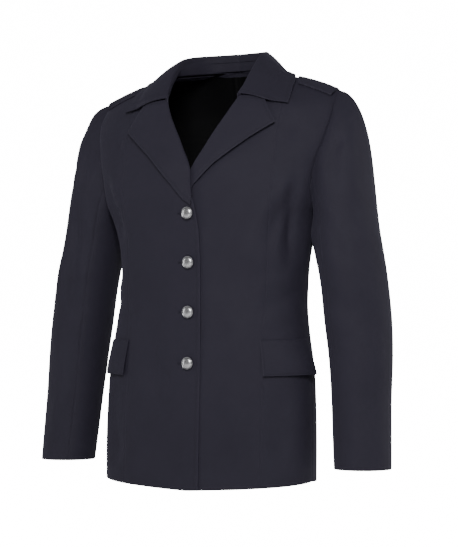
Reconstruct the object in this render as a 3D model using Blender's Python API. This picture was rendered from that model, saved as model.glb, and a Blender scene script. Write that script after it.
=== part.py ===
"""Woman's tailored uniform jacket, worn shape with nobody in it.

Metres, +Z up, the wearer faces -Y and the wearer's left arm is at +X. The origin is the middle of the
neck at the height where the shoulder seams meet the collar. Every cloth piece is a wall: a smooth
surface worked out from a table of body levels, given its thickness along its own normals.
"""
import bpy
import numpy as np

# Cloth and seams
CLOTH = 0.0020
LINING = 0.0012
SEAM_GAP = 0.0003
LAP_CLEARANCE = 0.0004
LAPEL_CLEARANCE = 0.0007
ARMHOLE_GAP = 0.0018

# Fronts
OVERLAP = 0.022
LAP_FADE = 0.060

# Fastening
BUTTON_RADIUS = 0.0102
BUTTON_HEIGHT = 0.0068
BUTTON_SHANK_RADIUS = 0.0036
BUTTON_SHANK_LENGTH = 0.0022
BUTTON_RIM = 0.0022
BUTTON_HEIGHTS = {"front_button_1": -0.244, "front_button_2": -0.324,
                  "front_button_3": -0.405, "front_button_4": -0.488}

# Pocket flaps, in front view
FLAP_TOP = -0.449
FLAP_DEPTH = 0.058
FLAP_FRONT_X = 0.124
FLAP_CLEARANCE = 0.0010
FLAP_FLARE = {"left": 0.0095, "right": 0.0010}
FLAP_END = 0.985

# Shoulder straps
STRAP_LENGTH = 0.071
STRAP_WIDTH = 0.044
STRAP_POINT = 0.28
STRAP_CLEARANCE = 0.0016
STRAP_THICKNESS = 0.0018
STRAP_OUTER_X = 0.213
STRAP_CENTRE_Y = 0.006

# Mesh density: rows up the fronts and the backs between their stops, columns across, other grids
FRONT_ROWS = (14, 13)
BACK_ROWS = (14, 8, 5)
FRONT_COLUMNS = 8
SIDE_FRONT_COLUMNS = 5
BACK_COLUMNS = 10
SLEEVE_CAP_ROWS = 8
SLEEVE_ARM_ROWS = 9
TOP_SLEEVE_COLUMNS = 13
UNDER_SLEEVE_COLUMNS = 7
LAPEL_GRID = (15, 6)
FLAP_GRID = (4, 9)
COLLAR_GRID = (3, 15, 7)
STAND_ROWS = 4
NECK_COLUMNS = 16
FACING_ROWS = 3
LINING_ROWS = 14
STRAP_GRID = (9, 13)
BUTTON_SIDES = 16
LINE_POINTS = 200

# Body levels, front: where each level starts (front edge, then roll line) and ends (side seam, then
# armhole), how round the curve between is, and where the princess seam crosses it.
LEVEL_COLUMNS = ("x_in", "y_in", "z_in", "x_out", "y_out", "z_out", "round", "seam_x", "edge_x")
FRONT_LEVELS = (
    # x_in, y_in, z_in, x_out, y_out, z_out, round, seam_x, edge_x
    (0.000, -0.118, -0.694, 0.1870, -0.040, -0.678, 1.45, 0.124, 0.021),
    (0.000, -0.115, -0.610, 0.1865, -0.040, -0.600, 1.45, 0.124, 0.021),
    (0.000, -0.111, -0.510, 0.1840, -0.037, -0.505, 1.45, 0.123, 0.021),
    (0.000, -0.110, -0.445, 0.1745, -0.033, -0.442, 1.40, 0.123, 0.021),
    (0.000, -0.109, -0.385, 0.1685, -0.023, -0.385, 1.36, 0.126, 0.021),
    (0.000, -0.109, -0.310, 0.1705, -0.018, -0.310, 1.36, 0.128, 0.020),
    (0.000, -0.109, -0.250, 0.1840, -0.014, -0.250, 1.38, 0.132, 0.016),
    (0.000, -0.108, -0.222, 0.1885, -0.041, -0.232, 1.25, 0.135, 0.007),
    (0.000, -0.105, -0.185, 0.1916, -0.051, -0.200, 1.08, 0.137, 0.000),
    (0.025, -0.092, -0.130, 0.1996, -0.052, -0.160, 0.85, 0.139, 0.000),
    (0.057, -0.073, -0.075, 0.2094, -0.043, -0.125, 0.65, 0.138, 0.000),
    (0.071, -0.055, -0.045, 0.2170, -0.026, -0.082, 0.55, 0.139, 0.000),
    (0.080, -0.004, 0.000, 0.2150, 0.004, -0.042, 0.30, 0.145, 0.000),
)
BACK_LEVELS = (
    # x_in, y_in, z_in, x_out, y_out, z_out, round
    (0.000, 0.076, -0.686, 0.1870, -0.040, -0.678, 1.25),
    (0.000, 0.078, -0.600, 0.1865, -0.040, -0.600, 1.25),
    (0.000, 0.071, -0.505, 0.1840, -0.037, -0.505, 1.25),
    (0.000, 0.062, -0.442, 0.1745, -0.033, -0.442, 1.25),
    (0.000, 0.055, -0.385, 0.1685, -0.023, -0.385, 1.25),
    (0.000, 0.068, -0.310, 0.1705, -0.018, -0.310, 1.25),
    (0.000, 0.082, -0.250, 0.1840, -0.014, -0.250, 1.25),
    (0.000, 0.088, -0.215, 0.1880, 0.024, -0.232, 1.15),
    (0.000, 0.095, -0.165, 0.1930, 0.040, -0.190, 1.10),
    (0.000, 0.098, -0.120, 0.1990, 0.046, -0.145, 1.05),
    (0.000, 0.096, -0.060, 0.2090, 0.038, -0.095, 1.00),
    (0.000, 0.079, 0.014, 0.2160, 0.020, -0.057, 1.00),
    (0.023, 0.076, 0.014, 0.2163, 0.015, -0.052, 0.80),
    (0.046, 0.065, 0.012, 0.2165, 0.010, -0.047, 0.60),
    (0.080, -0.004, 0.000, 0.2150, 0.004, -0.042, 0.30),
)
ARMHOLE_START = 6
BREAK_LEVEL = 7
NAPE_LEVEL = 11
SHOULDER_UP = (0.316, 0.0, 0.949)
SEAM_BLEND = 0.035
LEVEL_LENGTH = 0.20

# Sleeve levels: centre of the ring at each height, its half width and its half depth.
SLEEVE_LEVELS = (
    # x, y, z, half_width, half_depth
    (0.2374, -0.008, -0.285, 0.0506, 0.062),
    (0.2478, -0.014, -0.350, 0.0520, 0.060),
    (0.2550, -0.017, -0.410, 0.0520, 0.057),
    (0.2626, -0.020, -0.480, 0.0502, 0.053),
    (0.2672, -0.025, -0.550, 0.0478, 0.050),
    (0.2738, -0.036, -0.655, 0.0455, 0.048),
)
FOREARM_SEAM = 0.34
ELBOW_SEAM = 0.68
SLEEVE_COLUMN_COUNT = 37
SLEEVE_GIRTH = 0.30
# The cap leaves the armhole in these directions, spreads forward and back, and is this full.
CAP_LEAVES = {"top": (1.00, 0.0, -0.05), "underarm": (0.25, 0.0, -0.90)}
CAP_SPREAD = 0.30
CAP_FULLNESS = 0.74

# Lapels in front view, x and z: the outer edge from the break point up to the tip.
LAPEL_EDGE = {
    "left": ((-0.006, -0.2215), (0.0055, -0.199), (0.040, -0.165), (0.099, -0.122), (0.1359, -0.099)),
    "right": ((-0.008, -0.2330), (0.0090, -0.222), (0.0325, -0.196), (0.085, -0.146), (0.1359, -0.103)),
}
NOTCH = (0.1090, -0.057)
GORGE_HEIGHT = -0.052

# Collar round the neck, from its end at the gorge to the centre back: the roll line and the outer
# edge of the fall. The stand goes from the neckline up to the roll line.
COLLAR_STATIONS = (
    # roll_x, roll_y, roll_z, edge_x, edge_y, edge_z
    (0.0690, -0.064, -0.049, 0.1085, -0.066, -0.0545),
    (0.0740, -0.052, -0.034, 0.1500, -0.048, -0.0680),
    (0.0775, -0.024, -0.002, 0.1440, -0.012, -0.0340),
    (0.0780, 0.008, 0.023, 0.1210, 0.024, -0.0100),
    (0.0670, 0.048, 0.034, 0.0900, 0.080, -0.0080),
    (0.0380, 0.074, 0.038, 0.0500, 0.104, -0.0110),
    (0.0000, 0.083, 0.039, 0.0000, 0.110, -0.0130),
)
COLLAR_ARCH = {"left": 0.52, "right": 0.78}
COLLAR_FALL = 0.25
COLLAR_LIFT = 0.0044
STAND_TOP_GAP = 0.0020
NECK_EDGE = 0.02
# Lower edge of the neck facing: part of the way round from the centre back to the shoulder seam,
# across value there and how far the edge lies below the level of the neckline.
NECK_FACING_EDGE = (
    # part, across, drop
    (0.0, 0.000, 0.016),
    (0.3, 0.085, 0.028),
    (0.6, 0.110, 0.030),
    (1.0, 0.120, 0.000),
)
LINING_STEP = 0.0028
LINING_REACH = 0.93
LINING_EASE = 0.0022

# Finishes: colour, roughness, metallic
NAVY = ((0.022, 0.021, 0.032), 0.82, 0.0)
BLACK_SATIN = ((0.006, 0.006, 0.008), 0.45, 0.0)
SILVER = ((0.78, 0.78, 0.80), 0.28, 1.0)


def clear_scene():
    for obj in list(bpy.data.objects):
        bpy.data.objects.remove(obj, do_unlink=True)


def material(name, finish):
    """A Principled material from a finish of colour, roughness and metallic."""
    made = bpy.data.materials.new(name)
    made.use_nodes = True
    shader = made.node_tree.nodes["Principled BSDF"]
    colour, roughness, metallic = finish
    shader.inputs["Base Color"].default_value = (*colour, 1.0)
    shader.inputs["Roughness"].default_value = roughness
    shader.inputs["Metallic"].default_value = metallic
    return made


def smoothstep(low, high, value):
    part = np.clip((value - low) / (high - low), 0.0, 1.0)
    return part * part * (3.0 - 2.0 * part)


def monotone_curve(knots, values, at, corner=0):
    """Cubic through the table's rows that never swings past them (harmonic-mean slopes). At a
    corner row the slope is the one from below, so that tables that share the rows below agree."""
    values = np.asarray(values, float)
    step = np.diff(knots)[:, None]
    rise = np.diff(values, axis=0) / step
    slope = np.zeros_like(values)
    same_way = rise[1:] * rise[:-1] > 0.0
    safe = np.where(same_way, rise[1:] + rise[:-1], 1.0)
    slope[1:-1] = np.where(same_way, 2.0 * rise[1:] * rise[:-1] / safe, 0.0)
    slope[0] = rise[0]
    slope[-1] = rise[-1]
    if corner:
        slope[corner] = rise[corner - 1]
    low = np.clip(np.searchsorted(knots, at, side="right") - 1, 0, len(knots) - 2)
    span = (knots[low + 1] - knots[low])[:, None]
    part = ((at - knots[low])[:, None]) / span
    part2 = part * part
    part3 = part2 * part
    return ((2 * part3 - 3 * part2 + 1) * values[low] + (part3 - 2 * part2 + part) * span * slope[low]
            + (3 * part2 - 2 * part3) * values[low + 1] + (part3 - part2) * span * slope[low + 1])


def table_knots(table):
    """Places of the rows along the panel: distances up the side seam, added up, and above it the
    mean of the distances at the armhole and at the neck."""
    rows = np.asarray(table, float)
    inner = np.linalg.norm(np.diff(rows[:, 0:3], axis=0), axis=1)
    outer = np.linalg.norm(np.diff(rows[:, 3:6], axis=0), axis=1)
    inner[:ARMHOLE_START] = outer[:ARMHOLE_START]
    return np.concatenate([[0.0], np.cumsum((inner + outer) / 2)])


def body_point(table, across, along):
    """Point of a body table: across runs from the front edge or centre back to the side or armhole,
    along runs up the panel. Each level is a cubic Bezier whose handles lengthen as it gets rounder,
    and a negative across gives the same level mirrored past its start. The back's centre line turns
    at the nape into the neckline, which is a curve of its own."""
    knots = table_knots(table)
    level = monotone_curve(knots, table, np.ravel(along), ARMHOLE_START)
    if table is BACK_LEVELS:
        neckline = np.asarray(table)[NAPE_LEVEL:, 0:3]
        neckline = monotone_curve(knots[NAPE_LEVEL:], neckline, np.ravel(along))
        above = np.ravel(along)[:, None] > knots[NAPE_LEVEL]
        level[:, 0:3] = np.where(above, neckline, level[:, 0:3])
    start = level[:, 0:3]
    end = level[:, 3:6]
    reach = end - start
    bulge = level[:, 6:7]
    long = 1 / 3 + 0.219 * bulge
    short = np.maximum(0.0, (1.0 - bulge) / 3)
    third = np.full_like(long, 1 / 3)
    first = start + reach * np.concatenate([long, short, third], axis=1)
    second = end - reach * np.concatenate([short, long, third], axis=1)
    s = np.abs(np.ravel(across))[:, None]
    r = 1.0 - s
    point = r ** 3 * start + 3 * r * r * s * first + 3 * r * s * s * second + s ** 3 * end
    point[:, 0] = np.where(np.ravel(across) < 0.0, 2 * start[:, 0] - point[:, 0], point[:, 0])
    return point.reshape(np.shape(across) + (3,))


def unit(vector):
    return vector / np.maximum(np.linalg.norm(vector, axis=-1, keepdims=True), 1e-12)


def body_normal(table, across, along):
    """Outward normal of a body table, by small steps in both directions."""
    e = 1e-4
    knots = table_knots(table)
    lower = np.clip(across - e, -1, 1)
    upper = np.clip(across + e, -1, 1)
    below = np.clip(along - e, 0, knots[-1])
    above = np.clip(along + e, 0, knots[-1])
    d_across = body_point(table, upper, along) - body_point(table, lower, along)
    d_along = body_point(table, across, above) - body_point(table, across, below)
    turned = -1.0 if table is BACK_LEVELS else 1.0
    normal = unit(np.cross(d_across, d_along)) * turned
    near_shoulder = smoothstep(knots[-1] - SEAM_BLEND, knots[-1], along)[..., None]
    below_armhole = 1.0 - smoothstep(knots[ARMHOLE_START], knots[ARMHOLE_START] + SEAM_BLEND, along)
    near_side = (smoothstep(0.75, 1.0, np.abs(across)) * below_armhole)[..., None]
    top = knots[NAPE_LEVEL] if table is BACK_LEVELS else knots[BREAK_LEVEL]
    near_centre = (1.0 - smoothstep(0.0, 0.2, np.abs(across)))
    near_centre = near_centre * (1.0 - smoothstep(top, top + SEAM_BLEND, along))
    outward = np.sign(across + 1e-9)[..., None]
    normal = unit(normal + near_shoulder * (np.array(SHOULDER_UP) - normal))
    normal = unit(normal + near_side * (outward * np.array([1.0, 0.0, 0.0]) - normal))
    flat = np.stack([1.0 - near_centre, np.ones_like(near_centre), np.ones_like(near_centre)], axis=-1)
    return unit(normal * flat)


def find_on_body(table, target, axes, guess=(0.45, 0.55)):
    """Across and along of the body point that has the target's two coordinates (Newton steps)."""
    length = table_knots(table)[-1]
    target = np.asarray(target, float)
    s = np.full(target.shape[:-1], guess[0])
    t = np.full(target.shape[:-1], guess[1] * length)
    e = 1e-5
    for _ in range(25):
        here = body_point(table, s, t)[..., axes]
        by_s = (body_point(table, s + e, t)[..., axes] - here) / e
        by_t = (body_point(table, s, t + e)[..., axes] - here) / e
        miss = target - here
        det = by_s[..., 0] * by_t[..., 1] - by_s[..., 1] * by_t[..., 0]
        det = np.where(np.abs(det) < 1e-9, 1e-9, det)
        ds = (miss[..., 0] * by_t[..., 1] - miss[..., 1] * by_t[..., 0]) / det
        dt = (by_s[..., 0] * miss[..., 1] - by_s[..., 1] * miss[..., 0]) / det
        s = np.clip(s + np.clip(ds, -0.15, 0.15), -0.30, 1.0)
        t = np.clip(t + np.clip(dt, -0.06, 0.06), 0.0, length)
    return s, t


def add_object(name, points, faces, finish):
    mesh = bpy.data.meshes.new(name)
    mesh.from_pydata(np.asarray(points).tolist(), [], faces)
    mesh.materials.append(finish)
    mesh.update()
    obj = bpy.data.objects.new(name, mesh)
    bpy.context.scene.collection.objects.link(obj)
    mesh.shade_smooth()
    mesh.set_sharp_from_angle(angle=np.radians(40))
    return obj


def add_wall(name, outer, inner, finish, mirrored=False):
    """Closed wall between two grids of points, rows by columns. The outer grid's faces look outward
    for rows that go up and columns that go from the wearer's centre to the wearer's left side."""
    rows, columns = outer.shape[:2]
    points = np.concatenate([outer.reshape(-1, 3), inner.reshape(-1, 3)])
    if mirrored:
        points = points * (-1, 1, 1)
    count = rows * columns
    grid = np.arange(count).reshape(rows, columns)
    a, b, c, d = grid[:-1, :-1], grid[:-1, 1:], grid[1:, 1:], grid[1:, :-1]
    front = np.stack([a, b, c, d], axis=-1).reshape(-1, 4)
    back = front[:, ::-1] + count
    loop = np.concatenate([grid[0, :], grid[1:, -1], grid[-1, -2::-1], grid[-2:0:-1, 0]])
    after = np.roll(loop, -1)
    rim = np.stack([loop, loop + count, after + count, after], axis=-1)
    faces = np.concatenate([front, back, rim])
    if mirrored:
        faces = faces[:, ::-1]
    return add_object(name, points, faces.tolist(), finish)


def front_across(along, column):
    """Across value at which each front level reaches the x named by a column of its table."""
    dense = np.linspace(0.0, 1.0, 81)
    wanted = monotone_curve(table_knots(FRONT_LEVELS), FRONT_LEVELS, along)
    wanted = wanted[:, LEVEL_COLUMNS.index(column)]
    found = []
    for place, target in zip(along, wanted):
        x = body_point(FRONT_LEVELS, dense, np.full_like(dense, place))[:, 0]
        found.append(np.interp(target, x, dense, left=0.0))
    return np.array(found)


def body_rows(table):
    """Row places up a panel: the same on front and back up to the armhole, then on to the nape and
    to half a seam gap short of the shoulder seam."""
    knots = table_knots(table)
    counts = FRONT_ROWS
    stops = [0.0, knots[ARMHOLE_START]]
    if table is BACK_LEVELS:
        counts = BACK_ROWS
        stops.append(knots[NAPE_LEVEL])
    stops.append(knots[-1] - SEAM_GAP)
    rows = [np.linspace(low, high, count, endpoint=False)
            for low, high, count in zip(stops, stops[1:], counts)]
    return np.concatenate(rows + [[stops[-1]]])


def out_along(table, across, along, out):
    return body_normal(table, across, along) * np.asarray(out)[..., None]


def panel_grid(table, across, rows, out):
    """Grid of a panel, moved out along its normals by the given distance at each point."""
    along = np.broadcast_to(rows[:, None], across.shape)
    return body_point(table, across, along) + out_along(table, across, along, out)


def trimmed(across, low_gap, high_gap):
    """Across values pulled in by half a seam gap at each end that meets another piece."""
    low = low_gap * SEAM_GAP / 2 / LEVEL_LENGTH
    high = high_gap * SEAM_GAP / 2 / LEVEL_LENGTH
    first = across[:, :1] + low
    last = across[:, -1:] - high
    part = (across - across[:, :1]) / (across[:, -1:] - across[:, :1])
    return first + (last - first) * part


def lap_out(points):
    """How far the wearer's right front is moved out to lie on the left front and, near the break, on
    the left lapel too. It fades out towards the side and counts in the panel's own unmirrored x."""
    x = points[..., 0]
    z = points[..., 2]
    over_lapel = smoothstep(-0.29, -0.235, z) * (1.0 - smoothstep(-0.17, -0.13, z))
    weight = 1.0 - smoothstep(OVERLAP, OVERLAP + LAP_FADE, x)
    return weight * (1.0 + 1.3 * over_lapel) * (CLOTH + LAP_CLEARANCE)


def make_fronts(navy):
    """Centre front and side front of each side, parted by the princess seam from the shoulder."""
    rows = body_rows(FRONT_LEVELS)
    edge = -front_across(rows, "edge_x")
    seam = front_across(rows, "seam_x")
    for side, mirrored in (("left", False), ("right", True)):
        centre = trimmed(np.linspace(edge, seam, FRONT_COLUMNS, axis=1), 0, 1)
        flank = trimmed(np.linspace(seam, np.ones_like(seam), SIDE_FRONT_COLUMNS, axis=1), 1, 1)
        for piece, across in (("_front", centre), ("_side_front", flank)):
            lift = lap_out(panel_grid(FRONT_LEVELS, across, rows, np.zeros(across.shape))) * mirrored
            outer = panel_grid(FRONT_LEVELS, across, rows, lift)
            inner = panel_grid(FRONT_LEVELS, across, rows, lift - CLOTH)
            add_wall(side + piece, outer, inner, navy, mirrored)


def make_backs(navy):
    """Two backs, joined at the centre back and to the fronts at the side and shoulder seams."""
    rows = body_rows(BACK_LEVELS)
    across = np.tile(np.linspace(0.0, 1.0, BACK_COLUMNS + 1), (len(rows), 1))
    across = trimmed(across, 1, 1)
    outer = panel_grid(BACK_LEVELS, across, rows, np.zeros(across.shape)) * (-1, 1, 1)
    inner = panel_grid(BACK_LEVELS, across, rows, np.full(across.shape, -CLOTH)) * (-1, 1, 1)
    add_wall("left_back", outer, inner, navy, mirrored=True)
    add_wall("right_back", outer, inner, navy)


def armhole_loop(count):
    """Points, outward normals and outgoing directions round the armhole, evenly spaced by length:
    from the shoulder down the front, under the arm and up the back."""
    sides = []
    for table in (FRONT_LEVELS, BACK_LEVELS):
        knots = table_knots(table)
        along = np.linspace(knots[ARMHOLE_START], knots[-1], 60)
        edge = np.ones_like(along)
        point = body_point(table, edge, along)
        normal = body_normal(table, edge, along)
        outgoing = unit(point - body_point(table, edge - 0.02, along))
        sides.append((point, normal, outgoing))
    loop = [np.concatenate([f[::-1], b[1:]]) for f, b in zip(*sides)]
    length = np.concatenate([[0.0], np.cumsum(np.linalg.norm(np.diff(loop[0], axis=0), axis=1))])
    at = np.linspace(0.0, length[-1], count)
    return [np.stack([np.interp(at, length, values[:, k]) for k in range(3)], axis=-1) for values in loop]


def sleeve_ring(level, turn):
    """Ring of the sleeve: turn 0 is the outer side, a quarter the front, a half the body side."""
    angle = 2 * np.pi * turn
    x = level[0] + level[3] * np.cos(angle)
    y = level[1] - level[4] * np.sin(angle)
    return np.stack([x, y, np.full_like(x, level[2])], axis=-1)


def sleeve_surface(count):
    """Rows down the sleeve by columns round it. The cap is a Hermite patch from the armhole to the
    biceps ring; below it the rings follow the sleeve table to the cuff."""
    turn = np.linspace(0.0, 1.0, count)
    hole, hole_normal, outgoing = armhole_loop(count)
    levels = np.asarray(SLEEVE_LEVELS, float)
    knots = np.concatenate([[0.0], np.cumsum(-np.diff(levels[:, 2]))])
    arm = monotone_curve(knots, levels, np.linspace(0.0, knots[-1], SLEEVE_ARM_ROWS))
    ring = sleeve_ring(arm[0], turn)
    reach = np.linalg.norm(ring - hole, axis=1, keepdims=True)
    top = 0.5 + 0.5 * np.cos(2 * np.pi * turn)
    over = np.asarray(CAP_LEAVES["top"])
    under = np.asarray(CAP_LEAVES["underarm"])
    leave = under + (over - under) * top[:, None]
    leave[:, 1] = -CAP_SPREAD * np.sin(2 * np.pi * turn)
    leave = unit(leave)
    arrive = unit(sleeve_ring(arm[1], turn) - ring)
    start = hole + outgoing * ARMHOLE_GAP
    rows = []
    for part in np.linspace(0.0, 1.0, SLEEVE_CAP_ROWS, endpoint=False):
        p2 = part * part
        p3 = p2 * part
        rows.append((2 * p3 - 3 * p2 + 1) * start + (p3 - 2 * p2 + part) * leave * reach * CAP_FULLNESS
                    + (3 * p2 - 2 * p3) * ring + (p3 - p2) * arrive * reach)
    for level in arm:
        rows.append(sleeve_ring(level, turn))
    return np.array(rows), hole_normal


def make_sleeves(navy):
    """Two-piece sleeves: a wide top sleeve and a narrow under sleeve with seams front and back."""
    count = SLEEVE_COLUMN_COUNT
    surface, hole_normal = sleeve_surface(count)
    down = np.gradient(surface, axis=0)
    around = np.gradient(surface, axis=1)
    around[:, 0] = surface[:, 1] - surface[:, -2]
    around[:, -1] = around[:, 0]
    normal = unit(np.cross(around, down))
    normal[0] = hole_normal
    outward = surface[-1] - surface[-1, :-1].mean(axis=0)
    if (normal[-1] * outward).sum() < 0:
        normal[1:] = -normal[1:]
    turn = np.linspace(0.0, 1.0, count)
    half_gap = SEAM_GAP * 2.5 / SLEEVE_GIRTH

    def between(low, high, columns):
        """Outer and inner grids of the part of the tube between two turns, which may pass zero."""
        at = np.linspace(low + half_gap, high - half_gap, columns) % 1.0
        outer = np.empty((len(surface), columns, 3))
        way = np.empty_like(outer)
        for axis in range(3):
            for row in range(len(surface)):
                outer[row, :, axis] = np.interp(at, turn, surface[row, :, axis])
                way[row, :, axis] = np.interp(at, turn, normal[row, :, axis])
        return outer, outer - unit(way) * CLOTH

    for side, mirrored in (("left", False), ("right", True)):
        for piece, low, high, columns in (
                ("_top_sleeve", ELBOW_SEAM - 1.0, FOREARM_SEAM, TOP_SLEEVE_COLUMNS),
                ("_under_sleeve", FOREARM_SEAM, ELBOW_SEAM, UNDER_SLEEVE_COLUMNS)):
            outer, inner = between(low, high, columns)
            add_wall(side + piece, outer, inner, navy, mirrored)


def drape_front(x, z, out):
    """Points over the front at the given front-view places, moved out along its normals."""
    s, t = find_on_body(FRONT_LEVELS, np.stack([x, z], axis=-1), (0, 2))
    return body_point(FRONT_LEVELS, s, t) + out_along(FRONT_LEVELS, s, t, out)


def polyline(points, count):
    """Even points along a line through the given points."""
    points = np.asarray(points, float)
    length = np.concatenate([[0.0], np.cumsum(np.linalg.norm(np.diff(points, axis=0), axis=1))])
    at = np.linspace(0.0, length[-1], count)
    return np.stack([np.interp(at, length, points[:, k]) for k in range(points.shape[1])], axis=-1)


def roll_line(count):
    """Places (x, z) on the front's edge from the break point up the roll line to the gorge."""
    knots = table_knots(FRONT_LEVELS)
    along = np.linspace(knots[BREAK_LEVEL], knots[-1], LINE_POINTS)
    across = -front_across(along, "edge_x")
    line = body_point(FRONT_LEVELS, across, along)[:, [0, 2]]
    return polyline(line[line[:, 1] <= GORGE_HEIGHT], count)


def make_lapels(navy):
    """Turned lapels: each lies on its front from the roll line out to its pointed edge."""
    rows, columns = LAPEL_GRID
    notch_rows = 3
    inner_line = roll_line(rows)
    for side, mirrored in (("left", False), ("right", True)):
        edge = polyline(LAPEL_EDGE[side], rows - notch_rows)
        notch = np.linspace(edge[-1], NOTCH, notch_rows + 1)[1:]
        outer_line = np.concatenate([edge, notch])
        part = np.linspace(0.0, 1.0, columns)[None, :, None]
        place = inner_line[:, None] + (outer_line - inner_line)[:, None] * part
        flat = drape_front(place[..., 0], place[..., 1], np.zeros(place.shape[:2]))
        low = lap_out(flat) * mirrored + LAPEL_CLEARANCE
        inner = drape_front(place[..., 0], place[..., 1], low)
        outer = drape_front(place[..., 0], place[..., 1], low + CLOTH)
        add_wall(side + "_lapel", outer, inner, navy, mirrored)


def make_flaps(navy):
    """Straight pocket flaps sewn over the side fronts, flaring out towards the lower side corner."""
    rows, columns = FLAP_GRID
    middle = np.array([FLAP_FRONT_X, FLAP_TOP - FLAP_DEPTH / 2])
    first, _ = find_on_body(FRONT_LEVELS, middle, (0, 2))
    part, down = np.meshgrid(np.linspace(0.0, 1.0, columns), np.linspace(1.0, 0.0, rows))
    across = first + (FLAP_END - first) * part
    line = np.linspace(0.0, table_knots(FRONT_LEVELS)[-1], LINE_POINTS)
    heights = body_point(FRONT_LEVELS, np.full(LINE_POINTS, across.mean()), line)[:, 2]
    along = np.interp(FLAP_TOP - FLAP_DEPTH * down, heights, line)
    grid = body_point(FRONT_LEVELS, across, along)
    for side, mirrored in (("left", False), ("right", True)):
        lift = LAP_CLEARANCE + (FLAP_CLEARANCE + FLAP_FLARE[side] * part ** 2) * down
        inner = grid + out_along(FRONT_LEVELS, across, along, lift)
        outer = grid + out_along(FRONT_LEVELS, across, along, lift + CLOTH)
        add_wall(side + "_pocket_flap", outer, inner, navy, mirrored)


def body_cloud():
    """Close points and normals over the upper body, both sides, to lay other pieces on."""
    points = []
    normals = []
    for table in (FRONT_LEVELS, BACK_LEVELS):
        knots = table_knots(table)
        across, along = np.meshgrid(np.linspace(0, 1, 80), np.linspace(knots[ARMHOLE_START], knots[-1], 150))
        point = body_point(table, across, along).reshape(-1, 3)
        normal = body_normal(table, across, along).reshape(-1, 3)
        points += [point, point * (-1, 1, 1)]
        normals += [normal, normal * (-1, 1, 1)]
    return np.concatenate(points), np.concatenate(normals)


def lay_on_body(points, height, cloud, only_lift=False):
    """Moves each point along the nearest body normal to the given height over the body, or only
    lifts the points that lie lower than that."""
    body, normals = cloud
    flat = points.reshape(-1, 3)
    nearest = np.array([np.argmin(((body - point) ** 2).sum(axis=1)) for point in flat])
    normal = normals[nearest]
    above = ((flat - body[nearest]) * normal).sum(axis=1)
    move = height - above
    if only_lift:
        move = np.maximum(move, 0.0)
    return (flat + normal * move[:, None]).reshape(points.shape)


def collar_stations(side_columns, back_columns):
    """Collar rows round the neck: straight over the front end, smooth from there, then mirrored."""
    rows = np.asarray(COLLAR_STATIONS, float)
    end = np.linspace(rows[0], rows[1], side_columns, endpoint=False)
    knots = np.concatenate([[0.0], np.cumsum(np.linalg.norm(np.diff(rows[1:, 0:3], axis=0), axis=1))])
    half = np.concatenate([end, monotone_curve(knots, rows[1:], np.linspace(0.0, knots[-1], back_columns))])
    flip = np.tile([-1.0, 1.0, 1.0], 2)
    return np.concatenate([half, (half * flip)[-2::-1]])


def wall_normals(grid, outward):
    """Unit normals of a grid of points, turned to the side that the outward vectors point to."""
    normal = unit(np.cross(np.gradient(grid, axis=0), np.gradient(grid, axis=1)))
    return normal * np.sign((normal * outward).sum())


def make_collar(navy, cloud):
    """Fall of the collar, turned down over the shoulders, and the stand inside it."""
    end_columns, half_columns, rows = COLLAR_GRID
    station = collar_stations(end_columns, half_columns)
    roll = station[:, 0:3]
    edge = station[:, 3:6]
    part = np.linspace(0.0, 1.0, rows)[:, None, None]
    top = roll + (0.0, 0.0, STAND_TOP_GAP)
    away = (edge - top) * (1, 1, 0)
    to_right = smoothstep(0.05, -0.05, roll[:, 0:1])
    arch = COLLAR_ARCH["left"] + (COLLAR_ARCH["right"] - COLLAR_ARCH["left"]) * to_right
    handle = top + away * arch + (edge - top) * (0, 0, COLLAR_FALL)
    fall = (1 - part) ** 2 * top + 2 * part * (1 - part) * handle + part ** 2 * edge
    fall = lay_on_body(fall, COLLAR_LIFT, cloud, only_lift=True)
    normal = wall_normals(fall, np.broadcast_to(away, fall.shape))
    add_wall("collar_fall", fall - normal * CLOTH / 2, fall + normal * CLOTH / 2, navy)

    knots = table_knots(BACK_LEVELS)
    edge_line = np.zeros(LINE_POINTS)
    neck = body_point(BACK_LEVELS, edge_line, np.linspace(knots[NAPE_LEVEL], knots[-1], LINE_POINTS))[::-1]
    knots = table_knots(FRONT_LEVELS)
    roll_up = body_point(FRONT_LEVELS, edge_line, np.linspace(knots[BREAK_LEVEL], knots[-1], LINE_POINTS))
    roll_up = roll_up[roll_up[:, 2] >= GORGE_HEIGHT]
    half = np.concatenate([roll_up[:-1], neck])
    foot = np.concatenate([half, (half * (-1, 1, 1))[-2::-1]])
    foot = polyline(foot, len(station)) + (0.0, 0.0, CLOTH)
    rise = np.linspace(0.0, 1.0, STAND_ROWS)[:, None, None]
    stand = foot + (roll - foot) * rise
    normal = wall_normals(stand, np.broadcast_to(foot * (1, 1, 0), stand.shape))
    add_wall("collar_stand", stand, stand - normal * CLOTH, navy)


def back_inside(across, along, depth):
    """Points inside the back at a depth under its outer face; negative across is the right half."""
    side = np.sign(across + 1e-9)[..., None] * (1.0, 0.0, 0.0) + (0.0, 1.0, 1.0)
    half = np.abs(across)
    return (body_point(BACK_LEVELS, half, along) - out_along(BACK_LEVELS, half, along,
                                                             np.full(half.shape, depth))) * side


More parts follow.
